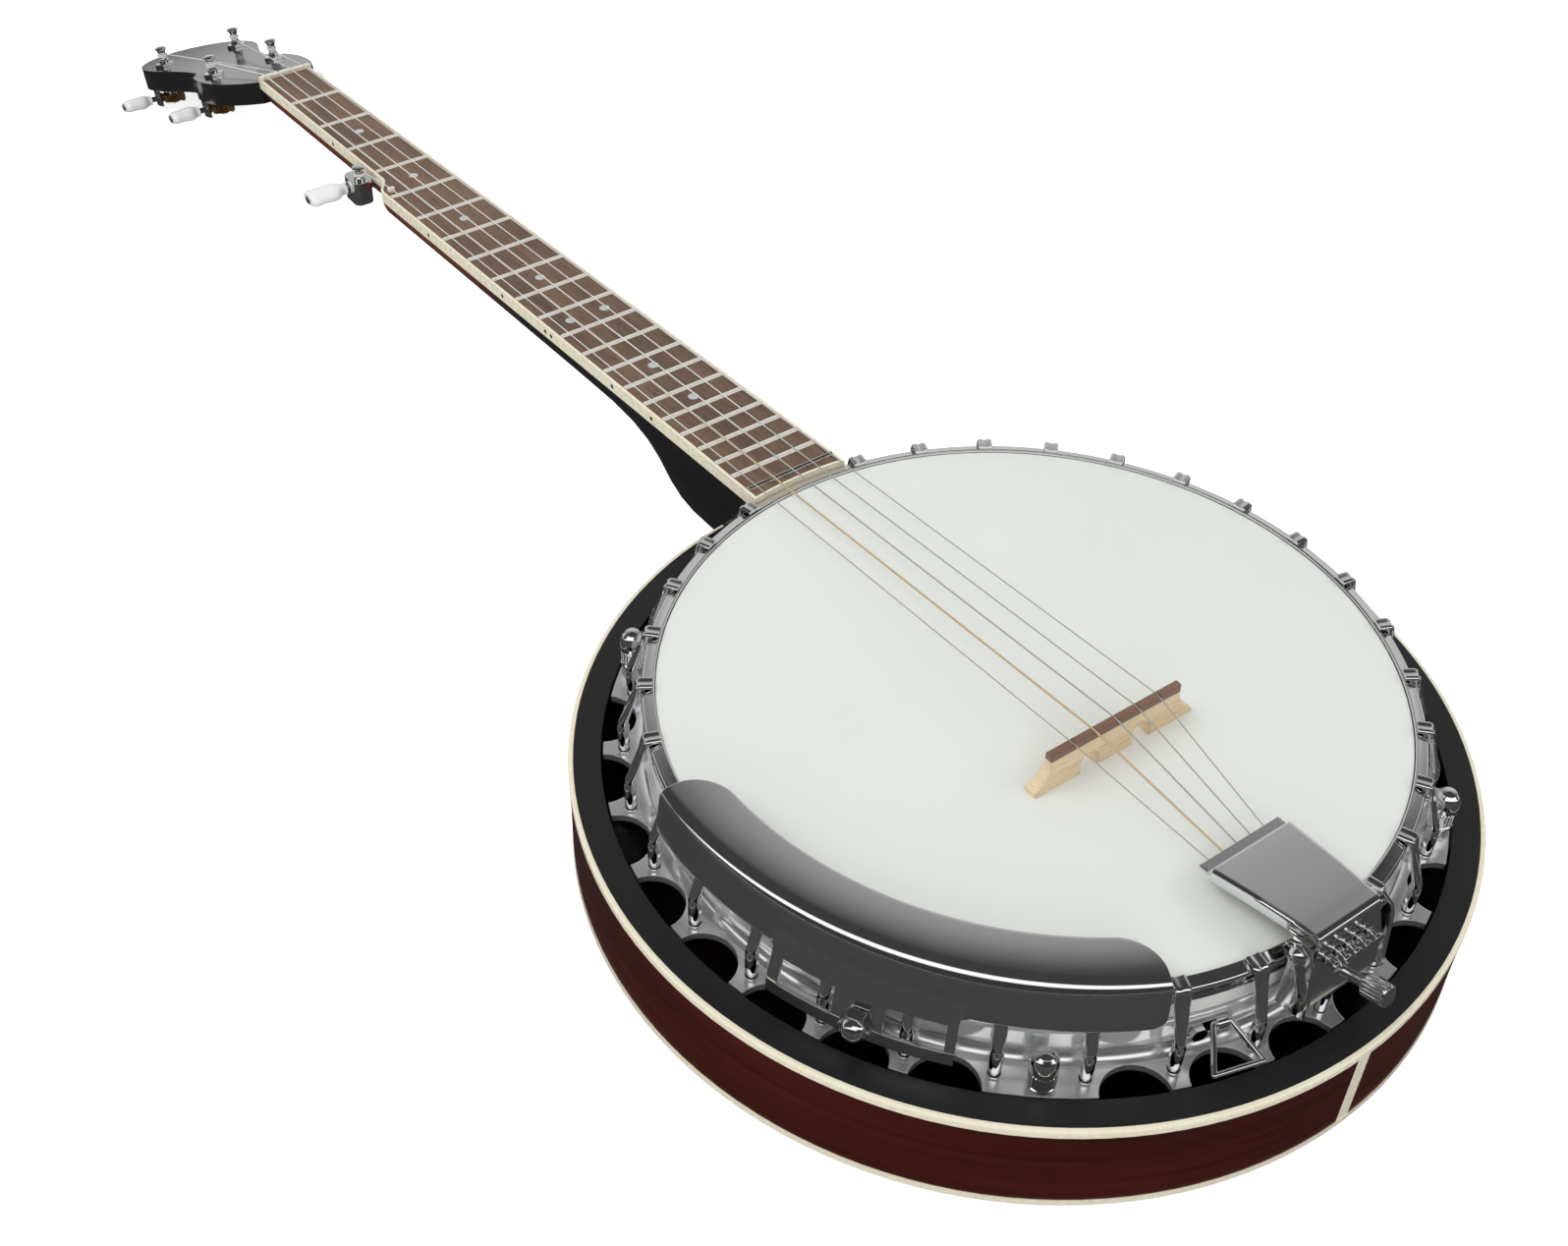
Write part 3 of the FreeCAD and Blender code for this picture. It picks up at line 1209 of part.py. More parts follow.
def make_tail_cover():
    """The tilting cover: a tapered lid with a stepped lip, side skirts and a rear plate."""
    def half_at(y):
        return 19.4 + (y + 107.5) * (4.0 / 41.2)

    def slab(points, half_front, half_rear):
        front_y = max(y for y, z in points)
        rear_y = min(y for y, z in points)
        side = prism([Vector(-40, y, z) for y, z in points], Vector(80, 0, 0))
        plan = [Vector(-half_front, front_y, 40), Vector(half_front, front_y, 40),
                Vector(half_rear, rear_y, 40), Vector(-half_rear, rear_y, 40)]
        return side.common(prism(plan, Vector(0, 0, 80)))

    lid = slab([(-107.5, 85.0), (-149.6, 89.6), (-149.6, 88.2), (-107.5, 83.6)], 19.4,
               half_at(-149.6))
    step = slab([(-106.6, 85.1), (-108.6, 84.9), (-106.9, 81.4), (-105.6, 81.4)], 19.6, 19.4)
    lip = slab([(-102.6, 82.5), (-107.6, 82.8), (-107.6, 81.4), (-102.6, 81.1)], 19.9, 19.5)
    rear = prism([Vector(-17.4, -149.8, 89.4), Vector(-17.4, -148.4, 89.0),
                  Vector(-17.4, -153.2, 60.9), Vector(-17.4, -154.6, 60.6)], Vector(34.8, 0, 0))
    taper = prism([Vector(-14.6, -160, 90), Vector(14.6, -160, 90), Vector(17.4, -160, 76),
                   Vector(17.4, -160, 50), Vector(-17.4, -160, 50), Vector(-17.4, -160, 76)],
                  Vector(0, 20, 0))
    rear = rear.common(taper)
    cover = lid.fuse([step, lip, rear])
    for side in (-1, 1):
        front = Vector(side * 19.4, -107.5, 84.8)
        back = Vector(side * half_at(-149.4), -149.4, 89.2)
        inset = Vector(-side * 1.2, 0, 0)
        skirt_points = [front, back, back.add(Vector(0, 0, -5.0)), front.add(Vector(0, 0, -3.6))]
        skirt = prism(skirt_points, inset)
        ear_points = [Vector(side * 17.4, y, z)
                      for y, z in ((-142, 84.0), (-152, 84.0), (-152.6, 76), (-148, 76.0))]
        ear = prism(ear_points, Vector(-side * 1.2, 0, 0))
        bridge_piece = block(Vector(min(side * 13.5, side * 17.4), -149.8, 82.4),
                             Vector(max(side * 13.5, side * 17.4), -142, 84.4))
        cover = cover.fuse([skirt, ear, bridge_piece])
        pin = rod(Vector(side * 14, PIVOT_Y, PIVOT_Z), Vector(side * 22, PIVOT_Y, PIVOT_Z), 2.05)
        cover = cover.cut(pin)
    screw_start, screw_axis = tail_screw_line()
    cover = cover.cut(rod(screw_start.sub(screw_axis * 4), screw_start.add(screw_axis * 6), 1.95))
    for number in range(5):
        x = (2 - number) * TAIL_PITCH
        cover = cover.cut(rod(Vector(x, -147, HOOK_POST_Z), Vector(x, -156, HOOK_POST_Z), 1.1))
    shape_part("tailpiece_cover", cover)
    posts = []
    for number in range(5):
        x = (2 - number) * TAIL_PITCH
        pin = rod(Vector(x, -150.2, HOOK_POST_Z), Vector(x, -156.4, HOOK_POST_Z), 1.1)
        cap = rod(Vector(x, -155.2, HOOK_POST_Z), Vector(x, -156.4, HOOK_POST_Z), 2.0)
        collar = rod(Vector(x, -152.15, HOOK_POST_Z), Vector(x, -152.8, HOOK_POST_Z), 2.0)
        posts.append(pin.fuse([cap, collar]))
    shape_part("tailpiece_posts", compound(posts))
    thread = rod(screw_start.sub(screw_axis * 1.5), screw_start.add(screw_axis * 11), 1.9)
    knob = knurled(screw_start.add(screw_axis * 9.5), screw_axis, 4.0, 9.5, 18)
    shape_part("tailpiece_screw", thread.fuse(knob))


def tail_screw_line():
    turn = math.radians(90 - PLATE_TILT - 5)
    axis = Vector(0, -math.sin(turn), math.cos(turn))
    return Vector(0, -152.9, 65.9), axis


def knurled(start, axis, radius, length, ridges):
    """A fluted knob with chamfered ends."""
    points = []
    for ridge in range(ridges):
        for part, reach in ((0.0, radius), (0.35, radius), (0.5, radius - 0.35),
                            (0.85, radius - 0.35)):
            turn = 2 * math.pi * (ridge + part) / ridges
            points.append(Vector(reach * math.cos(turn), reach * math.sin(turn), 0))
    barrel = prism(points, Vector(0, 0, length))
    ends = lathe([(0, 0), (radius - 0.8, 0), (radius + 0.1, 0.9), (radius + 0.1, length - 0.9),
                  (radius - 0.8, length), (0, length)], ORIGIN, Z_AXIS)
    knob = barrel.common(ends)
    knob.Placement = FreeCAD.Placement(start, FreeCAD.Rotation(Z_AXIS, axis))
    return knob


# ---------------------------------------------------------------- thumbscrews and strap ring

# Radius and height up the thumbscrew's head: a foot ring, a waist, and a domed cap.
THUMB_PROFILE = [(0, 0), (4.5, 0), (4.9, 0.5), (4.9, 1.1), (4.2, 1.8), (4.2, 8.0), (4.9, 8.4),
                 (5.0, 10.5), (4.8, 12.5), (4.1, 14.5), (2.7, 15.9), (0, 16.5)]


def make_resonator_screws():
    """Each screw passes a flange pad with clearance and turns in a lug with a running fit."""
    top = size("flange_high")
    for number, angle in enumerate(SCREW_ANGLES, start=1):
        place = polar(size("screw_circle"), angle, 0)
        shank = rod(place.add(Vector(0, 0, 30.5)), place.add(Vector(0, 0, top + 3)), 2.0)
        washer = rod(place.add(Vector(0, 0, top + 0.1)), place.add(Vector(0, 0, top + 1.6)), 3.4)
        knob = knurled(place.add(Vector(0, 0, top + 3.0)), Z_AXIS, 4.9, 6.8, 24)
        turned = lathe(THUMB_PROFILE, place.add(Vector(0, 0, top + 1.5)), Z_AXIS)
        shape_part("resonator_screw_%d" % number, shank.fuse([washer, knob, turned]))


STRAP_ANGLE = 196.6
STRAP_Z = 54.0
STRAP_R = 146.0
STRAP_SHIFT = -2.4
STRAP_SCREW = 5.4


def make_strap_ring():
    """A clip screwed to the rim wall that holds a hinged wire loop."""
    clip = block(Vector(-6.0, 141.0, 47.5), Vector(9.0, 143.4, 54.4))
    clip = clip.cut(pot_cylinder(size("pot_outer") + 0.02, 40, 60))
    cove = pot_cylinder(size("pot_outer") + size("cove_radius"), 40,
                        size("flange_high") + size("cove_radius"))
    clip = clip.cut(cove)
    middle = STRAP_SHIFT
    eye = rod(Vector(middle - 2.0, STRAP_R - 1.0, STRAP_Z),
              Vector(middle + 2.0, STRAP_R - 1.0, STRAP_Z), 2.0)
    clip = clip.fuse(eye)
    clip = clip.fuse(block(Vector(middle - 2.0, 142.4, 52.4), Vector(middle + 2.0, 145.0, 54.4)))
    clip = clip.cut(rod(Vector(middle - 5, STRAP_R - 1.0, STRAP_Z),
                        Vector(middle + 5, STRAP_R - 1.0, STRAP_Z), 1.05))
    clip = clip.cut(rod(Vector(STRAP_SCREW, 138, 51.0), Vector(STRAP_SCREW, 150, 51.0), 1.5))
    shape_part("strap_clip", around(clip, STRAP_ANGLE))
    wire = 1.0
    hinge = [Vector(middle - 3.1, STRAP_R - 1.0, STRAP_Z),
             Vector(middle + 3.1, STRAP_R - 1.0, STRAP_Z)]
    base = [Vector(middle + 9.2, 159.0, 47.6), Vector(middle - 9.2, 159.0, 47.6)]
    corners = hinge + base
    pieces = []
    for start, end in zip(corners, corners[1:] + corners[:1]):
        pieces.append(rod(start, end, wire))
        pieces.append(Part.makeSphere(wire, end))
    loop = pieces[0].fuse(pieces[1:])
    shape_part("strap_ring", around(loop, STRAP_ANGLE))
    screw = hexagon(5.5, 2.4, Vector(STRAP_SCREW, 143.45, 51.0), Y_AXIS)
    screw = screw.fuse(rod(Vector(STRAP_SCREW, 142.0, 51.0), Vector(STRAP_SCREW, 144, 51.0), 1.5))
    shape_part("strap_screw", around(screw, STRAP_ANGLE))


# ---------------------------------------------------------------- build, check and write

make_resonator()
make_pot()
make_head_and_hoops()
make_hooks()
make_coordinator_rods()
make_neck()
make_fretboard()
make_frets()
make_nut()
make_pip()
make_truss_rod()
make_tuner_plates()
make_tuners()
make_fifth_tuner()
make_bridge()
make_strings()
make_armrest()
make_tailpiece()
make_resonator_screws()
make_strap_ring()

doc.recompute()
for thing in doc.Objects:
    if "Invalid" in thing.State or "Error" in thing.State:
        raise ValueError(thing.Label + " failed: " + str(thing.State))
for thing in subparts:
    if thing.Shape.isNull() or not thing.Shape.isValid() or not thing.Shape.Solids:
        raise ValueError(thing.Label + " has no valid shape")
    thing.Shape.exportStep("parts/" + thing.Label + ".step")
print("wrote", len(subparts), "parts")
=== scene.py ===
import json
import math
import bmesh
import bpy
from mathutils import Matrix, Quaternion, Vector


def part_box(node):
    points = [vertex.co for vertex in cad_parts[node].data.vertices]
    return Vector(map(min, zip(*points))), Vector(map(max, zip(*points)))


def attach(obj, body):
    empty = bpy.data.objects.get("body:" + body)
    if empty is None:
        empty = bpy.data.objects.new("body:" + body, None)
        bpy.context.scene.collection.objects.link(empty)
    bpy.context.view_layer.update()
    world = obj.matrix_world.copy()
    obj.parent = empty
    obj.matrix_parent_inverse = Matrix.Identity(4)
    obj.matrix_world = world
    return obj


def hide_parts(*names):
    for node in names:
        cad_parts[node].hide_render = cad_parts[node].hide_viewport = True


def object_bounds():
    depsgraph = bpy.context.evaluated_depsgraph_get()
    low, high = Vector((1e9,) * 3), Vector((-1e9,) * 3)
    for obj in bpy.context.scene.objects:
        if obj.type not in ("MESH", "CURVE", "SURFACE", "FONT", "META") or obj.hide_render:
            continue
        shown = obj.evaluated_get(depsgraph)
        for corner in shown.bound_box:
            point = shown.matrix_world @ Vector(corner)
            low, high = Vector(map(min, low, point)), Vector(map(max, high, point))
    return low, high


# A five-string resonator banjo.  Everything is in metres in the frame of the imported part:
# +Z out of the head, +Y along the neck, +X towards the first string.

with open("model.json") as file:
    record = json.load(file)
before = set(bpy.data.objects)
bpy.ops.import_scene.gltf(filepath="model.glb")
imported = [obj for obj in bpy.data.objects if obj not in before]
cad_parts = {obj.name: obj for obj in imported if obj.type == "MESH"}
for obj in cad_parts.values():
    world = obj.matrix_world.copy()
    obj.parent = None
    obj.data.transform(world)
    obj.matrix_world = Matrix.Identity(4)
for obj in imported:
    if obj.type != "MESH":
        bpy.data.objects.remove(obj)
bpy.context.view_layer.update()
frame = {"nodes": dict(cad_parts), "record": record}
nodes = frame["nodes"]
MM = 0.001
EYE = Vector((-0.3939, -0.3555, 0.5765))
TARGET = Vector((-0.0361, 0.1028, 0.0450))
AHEAD = Vector((TARGET.x - EYE.x, TARGET.y - EYE.y, 0.0)).normalized()


# ---------------------------------------------------------------- shader helpers

class Paint:
    """A node material with short names for the nodes that every surface here uses."""

    def __init__(self, name, colour, roughness, metallic=0.0):
        self.material = bpy.data.materials.new(name)
        self.material.use_nodes = True
        self.tree = self.material.node_tree
        self.shader = self.tree.nodes["Principled BSDF"]
        self.set("Base Color", colour)
        self.set("Roughness", roughness)
        self.set("Metallic", metallic)
        self.place = self.add("ShaderNodeTexCoord").outputs["Object"]

    def add(self, kind, **settings):
        node = self.tree.nodes.new(kind)
        for key, value in settings.items():
            setattr(node, key, value)
        return node

    def plug(self, socket, value):
        if isinstance(value, bpy.types.NodeSocket):
            self.tree.links.new(value, socket)
        elif isinstance(value, tuple) and len(value) == 3 and socket.type == "RGBA":
            socket.default_value = (*value, 1.0)
        else:
            socket.default_value = value

    def set(self, name, value):
        self.plug(self.shader.inputs[name], value)

    def stretched(self, scale, place=None):
        mapping = self.add("ShaderNodeMapping")
        self.plug(mapping.inputs["Vector"], place or self.place)
        self.plug(mapping.inputs["Scale"], scale)
        return mapping.outputs["Vector"]

    def noise(self, scale, detail=4.0, rough=0.55, place=None, warp=0.0):
        node = self.add("ShaderNodeTexNoise")
        self.plug(node.inputs["Vector"], place or self.place)
        self.plug(node.inputs["Scale"], scale)
        self.plug(node.inputs["Detail"], detail)
        self.plug(node.inputs["Roughness"], rough)
        self.plug(node.inputs["Distortion"], warp)
        return node.outputs["Fac"]

    def cells(self, scale):
        node = self.add("ShaderNodeTexVoronoi", feature="F1")
        self.plug(node.inputs["Vector"], self.place)
        self.plug(node.inputs["Scale"], scale)
        return node.outputs["Distance"]

    def spread(self, value, low, high, out_low=0.0, out_high=1.0):
        node = self.add("ShaderNodeMapRange")
        self.plug(node.inputs["Value"], value)
        for name, number in (("From Min", low), ("From Max", high),
                             ("To Min", out_low), ("To Max", out_high)):
            self.plug(node.inputs[name], number)
        return node.outputs["Result"]

    def sum(self, operation, first, second=0.0):
        node = self.add("ShaderNodeMath", operation=operation)
        self.plug(node.inputs[0], first)
        self.plug(node.inputs[1], second)
        return node.outputs["Value"]

    def mix(self, share, first, second):
        node = self.add("ShaderNodeMix", data_type="RGBA")
        self.plug(node.inputs[0], share)
        self.plug(node.inputs[6], first)
        self.plug(node.inputs[7], second)
        return node.outputs[2]

    def bump(self, height, strength, distance, under=None):
        node = self.add("ShaderNodeBump")
        self.plug(node.inputs["Height"], height)
        self.plug(node.inputs["Strength"], strength)
        self.plug(node.inputs["Distance"], distance)
        if under is not None:
            self.plug(node.inputs["Normal"], under)
        return node.outputs["Normal"]

    def soft_edge(self, radius):
        node = self.add("ShaderNodeBevel", samples=6)
        self.plug(node.inputs["Radius"], radius)
        return node.outputs["Normal"]

    def split(self, vector):
        node = self.add("ShaderNodeSeparateXYZ")
        self.plug(node.inputs["Vector"], vector)
        return node.outputs["X"], node.outputs["Y"], node.outputs["Z"]

    def axes(self):
        return self.split(self.place)

    def join(self, x, y, z):
        node = self.add("ShaderNodeCombineXYZ")
        for socket, value in zip(node.inputs, (x, y, z)):
            self.plug(socket, value)
        return node.outputs["Vector"]

    def around(self):
        """Coordinates that follow a turned piece: length along the circle, radius and height."""
        x, y, z = self.axes()
        turn = self.sum("ARCTAN2", x, y)
        radius = self.sum("SQRT", self.sum("ADD", self.sum("MULTIPLY", x, x),
                                           self.sum("MULTIPLY", y, y)))
        along = self.sum("MULTIPLY", turn, 0.17)
        return self.join(along, radius, z)

    def vector(self, operation, first, second=(0.0, 0.0, 0.0), output="Vector"):
        node = self.add("ShaderNodeVectorMath", operation=operation)
        self.plug(node.inputs[0], first)
        self.plug(node.inputs[1], second)
        return node.outputs[output]

    def turned(self, normal):
        """Straighten the facets of a piece turned about Z, so that it shades as a true circle."""
        x, y, _ = self.axes()
        spoke = self.vector("NORMALIZE", self.join(x, y, 0.0))
        across, along, up = self.split(normal)
        level = self.join(across, along, 0.0)
        length = self.vector("LENGTH", level, output="Value")
        facing = self.vector("DOT_PRODUCT", spoke, level, "Value")
        share = self.sum("DIVIDE", self.sum("ABSOLUTE", facing),
                         self.sum("MAXIMUM", length, 0.001))
        reach = self.sum("MULTIPLY", self.sum("SIGN", facing), length)
        spoke_x, spoke_y, _ = self.split(spoke)
        true = self.join(self.sum("MULTIPLY", spoke_x, reach),
                         self.sum("MULTIPLY", spoke_y, reach), up)
        node = self.add("ShaderNodeMix", data_type="VECTOR")
        self.plug(node.inputs[0], self.spread(share, 0.970, 0.980))
        self.plug(node.inputs[4], normal)
        self.plug(node.inputs[5], true)
        return node.outputs[1]

    def coat(self, weight, roughness):
        self.set("Coat Weight", weight)
        self.set("Coat Roughness", roughness)


# ---------------------------------------------------------------- materials

def chrome():
    paint = Paint("chrome", (0.80, 0.81, 0.82), 0.08, 1.0)
    smudge = paint.noise(60.0, 5.0, 0.6, warp=0.4)
    paint.set("Roughness", paint.spread(smudge, 0.35, 0.75, 0.045, 0.14))
    tint = paint.noise(25.0, 3.0)
    paint.set("Base Color", paint.mix(tint, (0.74, 0.75, 0.77), (0.86, 0.86, 0.85)))
    edge = paint.soft_edge(0.35 * MM)
    paint.set("Normal", paint.bump(paint.noise(900.0, 3.0), 0.03, 0.02 * MM, edge))
    return paint.material


WALL_FOOT = 0.0455
WALL_START = 0.0480


def cast_metal():
    """Tumbled and polished casting: soft swirls, small pits and faint turning lines."""
    paint = Paint("cast_metal", (0.66, 0.67, 0.68), 0.24, 1.0)
    ringed = paint.stretched((30.0, 900.0, 900.0), paint.around())
    lines = paint.noise(1.0, 3.0, 0.6, ringed)
    cloud = paint.noise(45.0, 5.0, 0.6, warp=0.6)
    paint.set("Base Color", paint.mix(cloud, (0.74, 0.75, 0.76), (0.95, 0.95, 0.95)))
    rough = paint.sum("ADD", paint.spread(cloud, 0.3, 0.7, 0.13, 0.23),
                      paint.spread(lines, 0.3, 0.7, 0.0, 0.05))
    wall = paint.spread(paint.axes()[2], WALL_FOOT, WALL_START, 1.0, 0.45)
    paint.set("Roughness", paint.sum("MULTIPLY", rough, wall))
    pits = paint.spread(paint.cells(700.0), 0.0, 0.12)
    edge = paint.turned(paint.soft_edge(0.5 * MM))
    paint.set("Metallic", paint.spread(paint.axes()[2], WALL_FOOT, WALL_START, 0.84, 0.50))
    fine = paint.bump(lines, 0.06, 0.02 * MM, edge)
    paint.set("Normal", paint.bump(pits, 0.08, 0.02 * MM, fine))
    return paint.material


NUT_Y = 0.6278
BRIDGE_Y = -0.0412
TAIL_Y = -0.1045
FOURTH_AT_NUT = -0.0082
FOURTH_AT_BRIDGE = -0.0103
FOURTH_AT_TAIL = -0.0064
FOURTH_REACH = 0.0016
NECK_START = 0.14


def string_wire():
    """Plain wire painted darker over the pale head as painted shade, with the fourth string in
    bronze that is painted mostly pale over the neck as a painted highlight.
    """
    paint = Paint("string_wire", (0.92, 0.91, 0.87), 0.3, 0.25)
    x, y, _ = paint.axes()
    ahead = paint.spread(y, BRIDGE_Y, NUT_Y, FOURTH_AT_BRIDGE, FOURTH_AT_NUT)
    behind = paint.spread(y, TAIL_Y, BRIDGE_Y, FOURTH_AT_TAIL, FOURTH_AT_BRIDGE)
    line = paint.mix(paint.sum("GREATER_THAN", y, BRIDGE_Y), behind, ahead)
    gap = paint.sum("ABSOLUTE", paint.sum("SUBTRACT", x, line))
    wound = paint.sum("LESS_THAN", gap, FOURTH_REACH)
    turns = paint.noise(1.0, 1.0, 0.5, paint.stretched((0.0, 2600.0, 0.0)))
    bronze = paint.mix(turns, (0.48, 0.37, 0.20), (0.74, 0.60, 0.38))
    plain = paint.mix(turns, (0.84, 0.83, 0.79), (0.95, 0.94, 0.90))
    # painted shade: the strings are painted darker from the tail over the head to the neck than
    # over the neck
    shade_over_head = paint.mix(turns, (0.36, 0.35, 0.32), (0.52, 0.51, 0.47))
    plain = paint.mix(paint.spread(y, NECK_START, NECK_START + 0.06), shade_over_head, plain)
    # painted highlight: over the neck the bronze string is painted mostly in the pale plain colour
    painted_highlight_fade = paint.spread(y, NECK_START, NECK_START + 0.10, 1.0, 0.25)
    wound = paint.sum("MULTIPLY", wound, painted_highlight_fade)
    paint.set("Base Color", paint.mix(wound, plain, bronze))
    paint.set("Roughness", paint.spread(turns, 0.3, 0.7, 0.24, 0.38))
    return paint.material


FRETS_START = 0.150


def satin_steel(name, colour, roughness):
    """Brushed steel, paler and less mirror-like where the frets are: partly the pale nickel silver
    of the frets, partly a painted highlight standing in for their bright lines.
    """
    paint = Paint(name, colour, roughness, 1.0)
    grain = paint.noise(1.0, 4.0, 0.6, paint.stretched((1500.0, 90.0, 1500.0)))
    paint.set("Roughness", paint.spread(grain, 0.3, 0.7, roughness * 0.7, roughness * 1.3))
    shade = tuple(0.8 * part for part in colour)
    # painted highlight, partly: the frets are painted pale cream and made less metallic so that
    # they show as bright lines
    fret = paint.spread(paint.axes()[1], FRETS_START, FRETS_START + 0.005)
    paint.set("Base Color", paint.mix(fret, paint.mix(grain, shade, colour), (0.93, 0.90, 0.82)))
    paint.set("Metallic", paint.spread(fret, 0.0, 1.0, 1.0, 0.35))
    paint.set("Normal", paint.bump(grain, 0.08, 0.02 * MM, paint.soft_edge(0.2 * MM)))
    return paint.material


def head_film():
    """Frosted film: a sprayed grain over an even, slightly green-grey white."""
    paint = Paint("head_film", (0.80, 0.815, 0.78), 0.5)
    cloud = paint.noise(9.0, 3.0)
    paint.set("Base Color", paint.mix(cloud, (0.765, 0.785, 0.745), (0.815, 0.83, 0.79)))
    grain = paint.noise(1400.0, 4.0, 0.7)
    paint.set("Roughness", paint.spread(grain, 0.3, 0.7, 0.42, 0.6))
    paint.set("Normal", paint.bump(grain, 0.16, 0.05 * MM))
    paint.set("Subsurface Weight", 0.12)
    paint.set("Subsurface Radius", (0.004, 0.004, 0.003))
    return paint.material


def grained(name, light, dark, place, coat, roughness, pores=0.5, shine=0.5):
    """Lacquered or oiled wood: wide bands, fine grain lines and short dark pores."""
    paint = Paint(name, light, roughness)
    where = paint.around() if place == "around" else paint.place
    long_way = {"around": (6.0, 260.0, 260.0), "along_y": (260.0, 7.0, 260.0),
                "along_x": (7.0, 260.0, 260.0)}[place]
    lines = paint.noise(1.0, 6.0, 0.65, paint.stretched(long_way, where), 0.3)
    wide = tuple(0.12 * part if part > 100 else part for part in long_way)
    bands = paint.noise(1.0, 3.0, 0.5, paint.stretched(wide, where), 0.8)
    fine = tuple(part * (6.0 if part > 100 else 12.0) for part in long_way)
    pore = paint.spread(paint.noise(1.0, 2.0, 0.5, paint.stretched(fine, where)), 0.60, 0.72)
    tone = paint.spread(paint.sum("ADD", lines, bands), 0.75, 1.25)
    colour = paint.mix(tone, dark, light)
    deep = tuple(0.35 * part for part in dark)
    colour = paint.mix(paint.sum("MULTIPLY", pore, pores), colour, deep)
    paint.set("Base Color", colour)
    paint.set("Roughness", paint.spread(lines, 0.3, 0.7, roughness * 0.8, roughness * 1.2))
    edge = paint.soft_edge(0.4 * MM)
    paint.set("Normal", paint.bump(paint.sum("MULTIPLY", pore, -1.0), 0.25, 0.05 * MM, edge))
    paint.set("Specular IOR Level", shine)
    paint.coat(coat, 0.08)
    return paint


def paint_inside_shade(paint, inside):
    """Wood painted near black where the share called inside is one: painted shade for the unlit
    inside.
    """
    colour = paint.shader.inputs["Base Color"].links[0].from_socket
    paint.set("Base Color", paint.mix(inside, colour, (0.012, 0.007, 0.005)))
    return paint.material


def lacquer_black(name, roughness):
    paint = Paint(name, (0.012, 0.012, 0.013), roughness)
    cloud = paint.noise(30.0, 4.0, 0.6)
    dust = paint.spread(paint.cells(420.0), 0.0, 0.035, 1.0, 0.0)
    colour = paint.mix(cloud, (0.010, 0.010, 0.011), (0.018, 0.018, 0.019))
    paint.set("Base Color", paint.mix(paint.sum("MULTIPLY", dust, 0.25), colour,
                                      (0.12, 0.12, 0.12)))
    paint.set("Roughness", paint.spread(cloud, 0.3, 0.7, roughness * 0.85, roughness * 1.2))
    peel = paint.noise(240.0, 2.0)
    paint.set("Normal", paint.bump(peel, 0.05, 0.04 * MM, paint.soft_edge(0.5 * MM)))
    return paint.material


HEEL_DARK_END = 0.330


def neck_finish():
    """Red-brown lacquer that darkens to black at the heel and the peghead."""
    paint = grained("neck_finish", (0.230, 0.048, 0.018), (0.120, 0.022, 0.009), "along_y",
                    0.3, 0.3, 0.4, 0.35)
    colour = paint.shader.inputs["Base Color"].links[0].from_socket
    y = paint.axes()[1]
    nut_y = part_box("nut")[0].y
    heel = paint.spread(y, HEEL_DARK_END, HEEL_DARK_END + 0.070, 1.0, 0.0)
    peghead = paint.spread(y, nut_y - 0.016, nut_y - 0.002, 0.0, 1.0)
    share = paint.sum("MAXIMUM", heel, peghead)
    paint.set("Base Color", paint.mix(share, colour, (0.008, 0.008, 0.009)))
    paint.set("Roughness", paint.spread(peghead, 0.0, 1.0, 0.3, 0.12))
    paint.set("Specular IOR Level", paint.spread(peghead, 0.0, 1.0, 0.35, 1.0))
    return paint.material


def ivory(name, light, dark, scale=1.0):
    paint = Paint(name, light, 0.28)
    cloud = paint.noise(70.0 * scale, 4.0)
    paint.set("Base Color", paint.mix(cloud, dark, light))
    paint.set("Roughness", paint.spread(paint.noise(300.0), 0.3, 0.7, 0.2, 0.36))
    paint.set("Subsurface Weight", 0.15)
    paint.set("Subsurface Radius", (0.003, 0.002, 0.001))
    paint.set("Normal", paint.bump(paint.noise(200.0), 0.02, 0.02 * MM,
                                   paint.soft_edge(0.2 * MM)))
    paint.coat(0.4, 0.1)
    return paint.material


def pearl():
    """White pearl plastic: pale folded swirls."""
    paint = Paint("pearl", (0.85, 0.85, 0.83), 0.16)
    swirl = paint.noise(160.0, 3.0, 0.5, warp=2.2)
    paint.set("Base Color", paint.mix(swirl, (0.86, 0.87, 0.88), (0.97, 0.97, 0.95)))
    paint.set("Roughness", paint.spread(swirl, 0.3, 0.7, 0.12, 0.22))
    paint.set("Subsurface Weight", 0.25)
    paint.set("Subsurface Radius", (0.003, 0.003, 0.003))
    paint.set("Normal", paint.bump(swirl, 0.05, 0.05 * MM, paint.soft_edge(0.5 * MM)))
    paint.coat(0.6, 0.05)
    return paint.material


def brass():
    paint = Paint("brass", (0.62, 0.36, 0.12), 0.3, 1.0)
    cloud = paint.noise(180.0, 4.0, 0.6)
    paint.set("Base Color", paint.mix(cloud, (0.42, 0.20, 0.06), (0.72, 0.45, 0.18)))
    paint.set("Roughness", paint.spread(cloud, 0.3, 0.7, 0.22, 0.42))
    paint.set("Normal", paint.bump(cloud, 0.08, 0.03 * MM, paint.soft_edge(0.2 * MM)))
    return paint.material


def plain_dot(name, light, dark):
    paint = Paint(name, light, 0.25)
    swirl = paint.noise(420.0, 3.0, 0.5, warp=2.0)
    paint.set("Base Color", paint.mix(swirl, dark, light))
    paint.set("Roughness", paint.spread(swirl, 0.3, 0.7, 0.18, 0.32))
    return paint.material


SIDE_INSIDE = 0.1660
BACK_INSIDE = 0.0031


